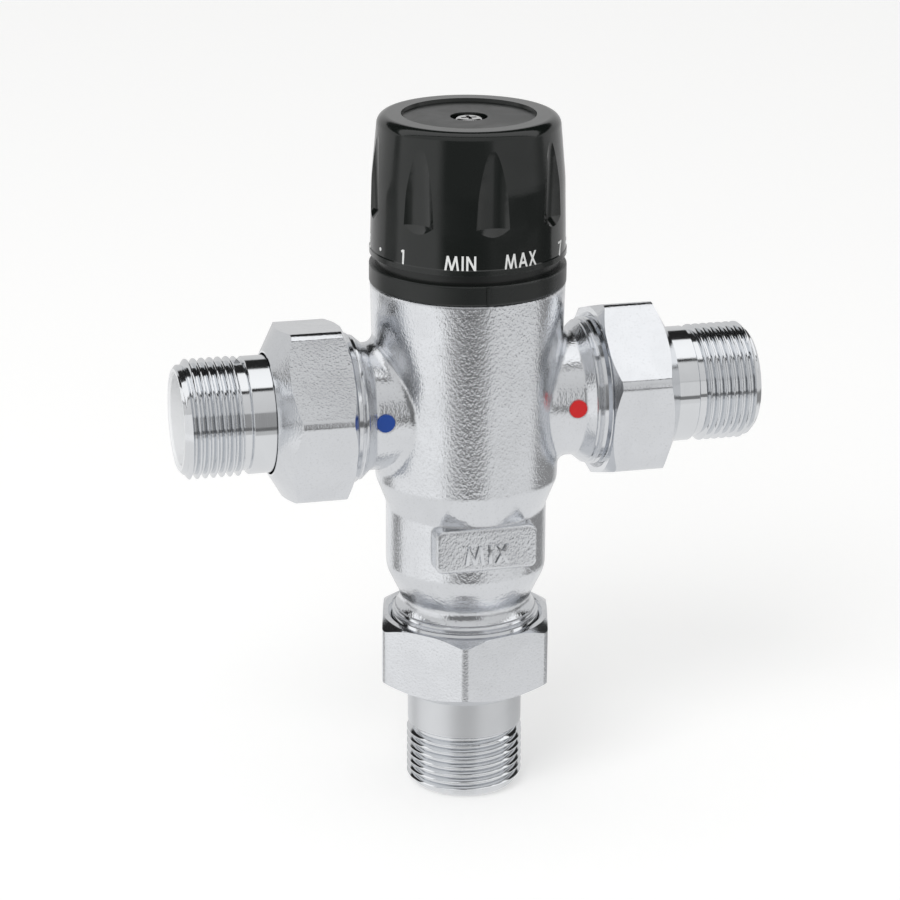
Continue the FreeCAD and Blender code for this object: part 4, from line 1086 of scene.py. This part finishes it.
@dataclass
class Tailpiece(Assembly):
    """A union tailpiece with its real pipe thread."""

    port: Port
    flange_width: float = 3.0 * MM
    flange_radius: float = 15.0 * MM
    shank_radius: float = 13.0 * MM
    bore_radius: float = 10.2 * MM
    rim_radius: float = 11.4 * MM
    rim_length: float = 1.9 * MM
    crest_radius: float = 13.22 * MM
    thread_length: float = 14.8 * MM
    pitch: float = 1.814 * MM
    thread_depth: float = 1.16 * MM
    root_sink: float = 0.3 * MM  # how deep the ridge stands in the core
    crest_break: float = 0.1 * MM
    lead_in: float = 0.2 * MM
    lead_out: float = 0.3 * MM
    lead_slope: float = 0.9
    turn_steps: int = 96
    edge: float = 0.25 * MM

    def build(self) -> list[bpy.types.Object]:
        """Turns the tailpiece, winds its thread and joins them.

        Returns:
            The threaded tailpiece.
        """
        name = f"{self.port.value}_tail"
        start, reach = port_span(self.port, name)
        core = self._turn_core(name + "_core", start, reach)
        ridge = self._wind_thread(name + "_thread", reach)
        tail = Workshop.join([core, ridge], f"{name}_threaded")
        Workshop.smooth(tail, 32)
        Workshop.move(tail, Matrix.Translation(self.crossing()) @ self.port.turn)
        finish = self.paint.tails[self.port.axis]
        hand_over(tail, f"{self.port.value}_tailpiece", finish, [name])
        return [tail]

    def _turn_core(self, name: str, start: float, reach: float) -> bpy.types.Object:
        """Turns the tailpiece without its thread.

        Args:
            name: The core's name.
            start: Where it starts along its union.
            reach: Where it ends.

        Returns:
            The core, along +Z.
        """
        edge, root = self.edge, self.crest_radius - self.thread_depth
        flange_end = start + self.flange_width
        thread_start = reach - self.thread_length
        rim_slope = (self.crest_radius - self.rim_radius) / self.rim_length
        root_end = reach - (root - self.rim_radius) / rim_slope
        outline = [
            (self.bore_radius, start + edge),
            (self.bore_radius + edge, start),
            (self.flange_radius - edge, start),
            (self.flange_radius, start + edge),
            (self.flange_radius, flange_end - edge),
            (self.flange_radius - edge, flange_end),
            (self.shank_radius, flange_end),
            (self.shank_radius, thread_start - edge),
            (self.shank_radius - edge, thread_start),
            (root, thread_start + edge),
            (root, root_end),
            (self.rim_radius, reach - edge / 2),
            (self.rim_radius - edge / 2, reach),
            (self.bore_radius + edge * 1.5, reach),
            (self.bore_radius, reach - edge * 2),
        ]
        return Workshop.lathe(name, outline)

    def _wind_thread(self, name: str, reach: float) -> bpy.types.Object:
        """Winds the pipe thread's ridge, trimmed to the lead-in and the rim's chamfer.

        Args:
            name: The ridge's name.
            reach: Where the tailpiece ends.

        Returns:
            The ridge, along +Z.
        """
        root = self.crest_radius - self.thread_depth
        sunk = root - self.root_sink
        shoulder = self.crest_radius - self.crest_break
        rising = [(sunk, -0.9), (root, -0.86), (shoulder, -0.2), (self.crest_radius, -0.1)]
        falling = [(radius, -share) for radius, share in reversed(rising)]
        start, half = reach - self.thread_length + self.lead_in, self.pitch / 2
        section = [(radius, start + half + half * share) for radius, share in rising + falling]
        turns = int((self.thread_length - self.lead_in - self.lead_out) / self.pitch)
        ridge = Workshop.wind(name, section, self.pitch, turns, self.turn_steps)
        slope = (self.crest_radius - self.rim_radius) / self.rim_length
        for vertex in ridge.data.vertices:
            radius = math.hypot(vertex.co.x, vertex.co.y)
            lead = root + (vertex.co.z - start) * self.lead_slope
            chamfer = self.rim_radius + (reach - vertex.co.z) * slope
            limit = max(min(lead, chamfer), sunk)
            if radius > limit:
                vertex.co.x *= limit / radius
                vertex.co.y *= limit / radius
        return ridge


@dataclass
class UnionNut(Assembly):
    """A hexagonal union nut with broken edges."""

    port: Port
    turn: float  # degrees
    across_flats: float = 37.4 * MM
    mouth_chamfer_start: float = 18.9 * MM
    rim_radius: float = 13.9 * MM
    lip_width: float = 3.0 * MM
    bore_radius: float = 16.7 * MM
    lip_bore_radius: float = 13.42 * MM
    mouth_break: float = 0.9 * MM
    corner_width: float = 1.6 * MM
    spare: float = 0.6 * MM  # how far the blank stands outside the bar's corners
    edge: float = 0.45 * MM

    def build(self) -> list[bpy.types.Object]:
        """Cuts the nut from a rounded hexagonal bar and a turned blank.

        Returns:
            The nut.
        """
        name = f"{self.port.value}_nut"
        mouth, end = port_span(self.port, name)
        corner = self.across_flats / math.sqrt(3)
        Workshop.clear()
        bpy.ops.mesh.primitive_cylinder_add(
            vertices=6,
            radius=corner,
            depth=end - mouth + 2 * MM,
            location=(0, 0, (mouth + end) / 2),
            rotation=(0, 0, math.radians(self.turn + 30)),
        )
        nut = Workshop.settle(bpy.context.object, f"{name}_eased")
        self._round_corners(nut)
        outside = corner + self.spare
        mouth_slope = (outside - self.mouth_chamfer_start) / math.sqrt(3)
        rim_slope = (outside - self.rim_radius) / math.sqrt(3)
        outline = [
            (self.mouth_chamfer_start, mouth),
            (outside, mouth + mouth_slope),
            (outside, end - rim_slope),
            (self.rim_radius, end),
            (self.lip_bore_radius, end),
            (self.lip_bore_radius, end - self.lip_width),
            (self.bore_radius, end - self.lip_width),
            (self.bore_radius, mouth + self.mouth_break),
            (self.bore_radius + self.mouth_break, mouth),
        ]
        Workshop.combine(nut, Workshop.lathe("blank", outline, 144), "INTERSECT")
        Workshop.ease(nut, self.edge)
        Workshop.move(nut, Matrix.Translation(self.crossing()) @ self.port.turn)
        hand_over(
            nut, f"{self.port.value}_union_nut", self.paint.nut, [name]
        )
        return [nut]

    def _round_corners(self, bar: bpy.types.Object) -> None:
        """Rounds the bar's six long edges as forging leaves them.

        Args:
            bar: The bar, along Z.
        """
        Workshop.take(bar)
        bpy.ops.object.mode_set(mode="EDIT")
        bpy.ops.mesh.select_all(action="DESELECT")
        bpy.ops.object.mode_set(mode="OBJECT")
        bpy.context.tool_settings.mesh_select_mode = (False, True, False)
        corners = bar.data.vertices
        for edge in bar.data.edges:
            first, last = (corners[index].co for index in edge.vertices)
            edge.select = abs(first.z - last.z) > self.across_flats / 10
        bpy.ops.object.mode_set(mode="EDIT")
        bpy.ops.mesh.bevel(offset=self.corner_width, segments=5, affect="EDGES")
        bpy.ops.object.mode_set(mode="OBJECT")


@dataclass
class KnobPrint(Assembly):
    """The words, numbers and dots printed round the knob's skirt."""

    height: float = 3.15 * MM
    lift: float = 1.3 * MM  # above the skirt's edge
    thickness: float = 0.1 * MM
    proud: float = 0.02 * MM
    middle: float = -0.8  # degrees from the front to the point between MIN and MAX
    word_pitch: float = 36.4
    number_pitch: float = 41.9
    min_width: float = 6.9 * MM
    max_width: float = 8.1 * MM
    number_width: float = 1.9 * MM  # a 1 is half as wide
    numbers: int = 7
    dot_radius: float = 0.42 * MM
    bend_step: float = 0.8 * MM

    def build(self) -> list[bpy.types.Object]:
        """Prints MIN and MAX either side of the front, and the numbers the other way round.

        Returns:
            The print.
        """
        least = self.middle - self.word_pitch / 2
        marks = [self._mark("MIN", self.min_width, least)]
        marks.append(self._mark("MAX", self.max_width, least + self.word_pitch))
        for number in range(1, self.numbers + 1):
            width = self.number_width / 2 if number == 1 else self.number_width
            angle = least - self.word_pitch - (number - 1) * self.number_pitch
            marks.append(self._mark(str(number), width, angle))
            if number < self.numbers:
                marks.append(self._dot(angle - self.number_pitch / 2))
        sheet = Workshop.join(marks, "knob_print")
        hand_over(sheet, "knob_assembly", self.paint.print)
        return [sheet]

    def _mark(self, text: str, width: float, angle: float) -> bpy.types.Object:
        """Lays one word round the skirt.

        Args:
            text: The word.
            width: Its width.
            angle: Degrees from the front to its middle.

        Returns:
            The word.
        """
        word = Lettering().word(text, self.height, width, self.thickness)
        Workshop.slice(word, self.bend_step)
        self._wrap(word, angle, self.lift)
        return word

    def _dot(self, angle: float) -> bpy.types.Object:
        """Lays a round dot at half the height of the numbers.

        Args:
            angle: Degrees from the front.

        Returns:
            The dot.
        """
        Workshop.clear()
        bpy.ops.mesh.primitive_cylinder_add(
            vertices=20, radius=self.dot_radius, depth=self.thickness, location=(0, 0, 0)
        )
        dot = Workshop.settle(bpy.context.object, "dot")
        self._wrap(dot, angle, self.lift + self.height / 2)
        return dot

    def _wrap(self, sheet: bpy.types.Object, angle: float, lift: float) -> None:
        """Bends a flat sheet round the knob and lays it on the knob's own surface.

        Args:
            sheet: The sheet, in the XY plane.
            angle: Degrees from the front to its middle.
            lift: How far above the skirt's edge y = 0 lies.
        """
        knob = frame["nodes"]["knob"]
        low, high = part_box("knob")
        outside = high.x * 2
        for vertex in sheet.data.vertices:
            height = low.z + lift + vertex.co.y
            turn = math.radians(angle) + vertex.co.x / high.x
            outward = Vector((math.sin(turn), -math.cos(turn), 0))
            hit, point, _, _ = knob.ray_cast(
                outward * outside + Vector((0, 0, height)), -outward
            )
            radius = math.hypot(point.x, point.y) if hit else high.x
            radius += self.proud + vertex.co.z
            vertex.co = outward * radius + Vector((0, 0, height))


@dataclass
class IndexMark(Assembly):
    """The raised index rib on the black ring."""

    angle: float = -3.0  # degrees from the front, towards the cold side
    width: float = 0.8 * MM
    proud: float = 0.3 * MM
    ring_height: float = 4.5 * MM
    margin: float = 0.25 * MM
    edge: float = 0.12 * MM

    def build(self) -> list[bpy.types.Object]:
        """Raises the rib over the ring's height.

        Returns:
            The rib.
        """
        low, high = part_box("index_ring")
        Workshop.clear()
        height = self.ring_height - 2 * self.margin
        bpy.ops.mesh.primitive_cube_add(
            size=1,
            location=(0, -high.x + self.proud / 2, low.z + self.margin + height / 2),
            scale=(self.width, self.proud * 3, height),
        )
        rib = Workshop.settle(bpy.context.object, "index_rib")
        Workshop.ease(rib, self.edge)
        Workshop.move(rib, Matrix.Rotation(math.radians(self.angle), 4, "Z"))
        hand_over(rib, "valve", self.paint.ring)
        return [rib]


@dataclass
class PadWord(Assembly):
    """The raised word on the casting's front pad."""

    height: float = 4.2 * MM
    width: float = 10.0 * MM
    drop: float = 30.3 * MM  # below the inlets' axis
    face: float = 18.8 * MM  # in front of the vertical axis
    proud: float = 0.5 * MM
    edge: float = 0.12 * MM

    def build(self) -> list[bpy.types.Object]:
        """Casts the word on the pad.

        Returns:
            The word.
        """
        word = Lettering(stroke=0.19, gap=0.26).word(
            "MIX", self.height, self.width, self.proud * 2
        )
        word.name = "pad_word"
        Workshop.modify(
            word,
            "BEVEL",
            width=self.edge,
            segments=2,
            limit_method="ANGLE",
            angle_limit=math.radians(40),
        )
        Workshop.smooth(word, 50)
        upright = Matrix.Rotation(math.pi / 2, 4, "X")
        place = self.crossing() + Vector((0, -self.face, -self.drop - self.height / 2))
        Workshop.move(word, Matrix.Translation(place) @ upright)
        hand_over(word, "valve", self.paint.word)
        return [word]


@dataclass
class CoilSpring(Assembly):
    """A coil spring wound in place of a CAD spring node, along the axis that its joint's record
    gives.
    """

    node: str
    joint: str
    coil_radius: float
    turns: int
    wire_sides: int = 8
    turn_steps: int = 48

    def build(self) -> list[bpy.types.Object]:
        """Winds the spring between its two seats.

        Returns:
            The spring.
        """
        low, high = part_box(self.node)
        joints = frame["record"]["behaviour"]["joints"]
        joint = next(row for row in joints if row["name"] == self.joint)
        fold = next(row for row in joint["deforming_nodes"] if row["node"] == self.node)
        letter = fold["mode"][-1]
        axis = "xyz".index(letter)
        length = high[axis] - low[axis]
        wire = (high.y - low.y) / 2 - self.coil_radius
        section = arc((self.coil_radius, wire), (wire, wire), 0, 360, self.wire_sides)[:-1]
        pitch = (length - 2 * wire) / self.turns
        name = f"{self.node}_coil"
        spring = Workshop.wind(name, section, pitch, self.turns, self.turn_steps)
        Workshop.smooth(spring, 50)
        way = Matrix.Rotation(math.pi / 2, 4, "Y") if letter == "x" else Matrix.Identity(4)
        seat = (low + high) / 2
        seat[axis] = low[axis]
        Workshop.move(spring, Matrix.Translation(seat) @ way)
        hand_over(spring, "valve", self.paint.steel, [self.node])
        anchor = seat.copy()
        anchor[axis] = fold[f"fixed_end_{letter}_m"]
        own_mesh(spring)
        return [spring]


@dataclass
class CarriedNodes(Assembly):
    """The CAD nodes that stay as they are and only get their finish."""

    def build(self) -> list[bpy.types.Object]:
        """Assigns each node the finish of its slot.

        Returns:
            Nothing new.
        """
        rows = frame["record"]["subparts"]
        slots = {row["node"]: Slot(row["material_slot"]) for row in rows}
        for name, node in frame["nodes"].items():
            material = self.paint.knob if name == "knob" else self.paint.by_slot(slots[name])
            node.data.materials.clear()
            node.data.materials.append(material)
        LOG.info("%d nodes dressed", len(frame["nodes"]))
        return []


# ---------------------------------------------------------------------------------------------
# studio
# ---------------------------------------------------------------------------------------------


@dataclass(frozen=True)
class Room:
    """The room that metal shows, as (degrees, brightness) stops.

    Degrees run round the object from the camera's side to the right, and for the boxes above
    from the camera's side over the top.
    """

    table: Stops = (
        (-180, 0.9), (-134, 0.9), (-124, 0.3), (-114, 0.3), (-102, 0.92), (-30, 1.02),
        (-16, 0.4), (2, 0.19), (18, 0.3), (32, 0.74), (88, 0.76), (104, 0.28), (140, 0.28),
        (160, 0.7), (180, 0.9),
    )
    wall: Stops = (
        (-180, 0.5), (-150, 0.25), (-96, 0.3), (-88, 0.85), (-40, 0.9), (-26, 0.14),
        (16, 0.12), (34, 0.2), (80, 0.17), (110, 0.1), (150, 0.3), (180, 0.5),
    )
    high_wall: Stops = (
        (-180, 0.5), (-150, 0.25), (-96, 0.3), (-88, 0.85), (-40, 0.9), (-26, 0.2),
        (16, 0.22), (27, 0.34), (31, 0.74), (80, 0.66), (104, 0.2), (150, 0.3), (180, 0.5),
    )
    above: Stops = (
        (-180, 0.68), (-150, 0.7), (-149, 0.4), (20, 0.45), (24, 0.66), (65, 0.72),
        (66.5, 0.02), (72, 0.02), (73, 1.15), (117, 1.1), (120, 0.02), (149, 0.02),
        (154, 0.68), (180, 0.68),
    )
    above_starts: float = 21
    above_ends: float = -149
    floor: float = 0.82
    floor_fade: Point2 = (-0.38, -0.42)  # heights of a ray's direction
    table_fade: Point2 = (-0.25, -0.28)
    wall_fade: Point2 = (-0.17, -0.13)

    def paint(self, bench: NodeBench, turn: float) -> bpy.types.NodeSocket:
        """Builds the room.

        Args:
            bench: The world's nodes.
            turn: Degrees from the front round to the camera.

        Returns:
            The brightness that a ray meets.
        """
        sky = bench.add("ShaderNodeTexCoord").outputs["Generated"]
        turned = bench.add(
            "ShaderNodeVectorRotate",
            {"Vector": sky, "Angle": -math.radians(turn)},
            rotation_type="Z_AXIS",
        )
        axes = bench.add("ShaderNodeSeparateXYZ", {"Vector": turned.outputs[0]}).outputs
        height = axes["Z"]
        front = bench.math("MULTIPLY", axes["Y"], -1.0)
        over, around = self._angle(bench, height, front), self._angle(bench, axes["X"], front)
        table, wall, high_wall = (
            bench.ramp(around, self._places(stops))
            for stops in (self.table, self.wall, self.high_wall)
        )
        above = bench.ramp(over, self._places(self.above))
        raised = bench.math("GREATER_THAN", over, self._place(self.above_starts))
        behind = bench.math("LESS_THAN", over, self._place(self.above_ends))
        wall = bench.mix(bench.fade(height, *self.wall_fade), wall, high_wall)
        room = bench.mix(bench.math("MAXIMUM", raised, behind), wall, above)
        grey = (self.floor, self.floor, self.floor, 1)
        floor = bench.mix(bench.fade(height, *self.floor_fade), table, grey)
        return bench.mix(bench.fade(height, *self.table_fade), room, floor)

    @staticmethod
    def _place(degrees: float) -> float:
        """An angle as a place on a ramp from -180 to 180 degrees."""
        return (degrees + 180) / 360

    @classmethod
    def _places(cls, stops: Stops) -> list[Point2]:
        """Stops in degrees as stops on a ramp."""
        return [(cls._place(degrees), level) for degrees, level in stops]

    @staticmethod
    def _angle(
        bench: NodeBench, side: bpy.types.NodeSocket, front: bpy.types.NodeSocket
    ) -> bpy.types.NodeSocket:
        """The angle of two coordinates, from 0 to 1 for a whole turn."""
        angle = bench.math("ARCTAN2", side, front)
        return bench.math("DIVIDE", bench.math("ADD", angle, math.pi), math.tau)


@dataclass
class Studio:
    """Pale floor, soft light and the camera."""

    camera_turn: float = -14.5  # degrees round the object, from the front
    camera_tilt: float = 18.97
    place_turn: float = -14.81
    place_tilt: float = 18.04
    roll: float = 0.36
    distance: float = 0.708
    lens: float = 126.96
    floor_radius: float = 4.0
    floor_gap: float = 0.2 * MM
    floor_colour: Colour = (0.93, 0.93, 0.925)
    floor_glow: float = 0.28
    even_light: float = 0.62
    lamp_size: float = 0.9
    lamp_power: float = 9.0
    lamp_place: tuple[float, float, float] = (-0.8, -0.9, 1.2)
    lamp_target: tuple[float, float, float] = (0, 0, 0.08)

    def build(self) -> None:
        """Sets up the whole studio."""
        self._floor()
        self._world()
        self._lamp()
        self._camera()
        bpy.context.scene.view_settings.view_transform = "Standard"

    @staticmethod
    def _direction(turn: float, tilt: float) -> Vector:
        """Unit vector from the object towards a place round it."""
        a, e = math.radians(turn), math.radians(tilt)
        return Vector((math.sin(a) * math.cos(e), -math.cos(a) * math.cos(e), math.sin(e)))

    @staticmethod
    def _hang(name: str, data: bpy.types.ID) -> bpy.types.Object:
        """Puts a lamp or a camera in the scene.

        Args:
            name: Its name.
            data: Its settings.

        Returns:
            Its object.
        """
        thing = bpy.data.objects.new(name, data)
        bpy.context.scene.collection.objects.link(thing)
        return thing

    def _camera(self) -> None:
        """Places the camera, a little to the left and above."""
        place = Assembly.crossing() + self.distance * self._direction(
            self.place_turn, self.place_tilt
        )
        back = self._direction(self.camera_turn, self.camera_tilt)
        turn, roll = math.radians(self.camera_turn), math.radians(self.roll)
        right = Vector((math.cos(turn), math.sin(turn), 0))
        up = back.cross(right)
        rolled_right = right * math.cos(roll) + up * math.sin(roll)
        rolled_up = up * math.cos(roll) - right * math.sin(roll)
        axes = Matrix((rolled_right, rolled_up, back)).transposed().to_4x4()
        settings = bpy.data.cameras.new("studio_camera")
        settings.lens = self.lens
        settings.sensor_width = 36.0
        settings.clip_start = 0.01
        camera = self._hang("studio_camera", settings)
        camera.matrix_world = Matrix.Translation(place) @ axes
        bpy.context.scene.camera = camera

    def _floor(self) -> None:
        """A plain pale floor that keeps the object's soft shadow."""
        Workshop.clear()
        bpy.ops.mesh.primitive_circle_add(
            vertices=64,
            radius=self.floor_radius,
            fill_type="NGON",
            location=(0, 0, -self.floor_gap),
        )
        floor = Workshop.settle(bpy.context.object, "floor")
        material = bpy.data.materials.new("floor_white")
        material.use_nodes = True
        bench = NodeBench(material.node_tree)
        shader = material.node_tree.nodes["Principled BSDF"]
        shader.inputs["Base Color"].default_value = self.floor_colour + (1,)
        shader.inputs["Roughness"].default_value = 0.9
        seen = bench.add("ShaderNodeLightPath").outputs["Is Camera Ray"]
        glow = {"Color": (1, 1, 0.995, 1), "Strength": self.floor_glow}
        glow = bench.add("ShaderNodeEmission", glow).outputs[0]
        empty = bench.add("ShaderNodeEmission", {"Strength": 0.0}).outputs[0]
        lift = bench.add("ShaderNodeMixShader", {0: seen, 1: empty, 2: glow}).outputs[0]
        both = bench.add("ShaderNodeAddShader", {0: shader.outputs[0], 1: lift}).outputs[0]
        output = material.node_tree.nodes["Material Output"]
        material.node_tree.links.new(both, output.inputs["Surface"])
        floor.data.materials.append(material)
        floor.visible_glossy = False

    def _world(self) -> None:
        """White for the eye, even for plain surfaces, and a room of soft boxes for metal."""
        world = bpy.data.worlds.new("studio")
        bpy.context.scene.world = world
        world.use_nodes = True
        bench = NodeBench(world.node_tree)
        light = bench.add("ShaderNodeLightPath").outputs
        room, even, seen = (
            bench.add("ShaderNodeBackground", {"Color": colour, "Strength": strength}).outputs[0]
            for colour, strength in (
                (Room().paint(bench, self.camera_turn), 1.0),
                ((1, 1, 1, 1), self.even_light),
                ((1, 1, 0.996, 1), 1.0),
            )
        )
        shiny = bench.add("ShaderNodeMixShader", {0: light["Is Glossy Ray"], 1: even, 2: room})
        both = {0: light["Is Camera Ray"], 1: shiny.outputs[0], 2: seen}
        all_rays = bench.add("ShaderNodeMixShader", both).outputs[0]
        output = world.node_tree.nodes["World Output"]
        world.node_tree.links.new(all_rays, output.inputs["Surface"])

    def _lamp(self) -> None:
        """One broad lamp from the upper left, for shape and a soft shadow."""
        settings = bpy.data.lights.new("key", "AREA")
        settings.shape = "SQUARE"
        settings.size = self.lamp_size
        settings.energy = self.lamp_power
        lamp = self._hang("key", settings)
        place, target = Vector(self.lamp_place), Vector(self.lamp_target)
        lamp.location = place
        lamp.rotation_euler = (target - place).to_track_quat("-Z", "Y").to_euler()
        lamp.visible_glossy = False


def main() -> None:
    """Builds everything in order."""
    logging.basicConfig(level=logging.INFO, format="%(message)s")
    paint = Paint()
    Studio().build()
    groups: list[Assembly] = [CarriedNodes(paint)]
    groups += [Tailpiece(paint, port) for port in Port]
    groups += [
        UnionNut(paint, Port.COLD, 38.0),
        UnionNut(paint, Port.HOT, 11.5),
        UnionNut(paint, Port.OUTLET, 44.5),
        KnobPrint(paint),
        IndexMark(paint),
        PadWord(paint),
        CoilSpring(paint, "cold_check_spring", "cold_check_open", 3.5 * MM, 4),
        CoilSpring(paint, "hot_check_spring", "hot_check_open", 3.5 * MM, 4),
        CoilSpring(paint, "return_spring", "element_stroke", 6.3 * MM, 6),
    ]
    for group in groups:
        pieces = group.build()
        LOG.info("%s: %d pieces", type(group).__name__, len(pieces))


if __name__ == "__main__":
    main()
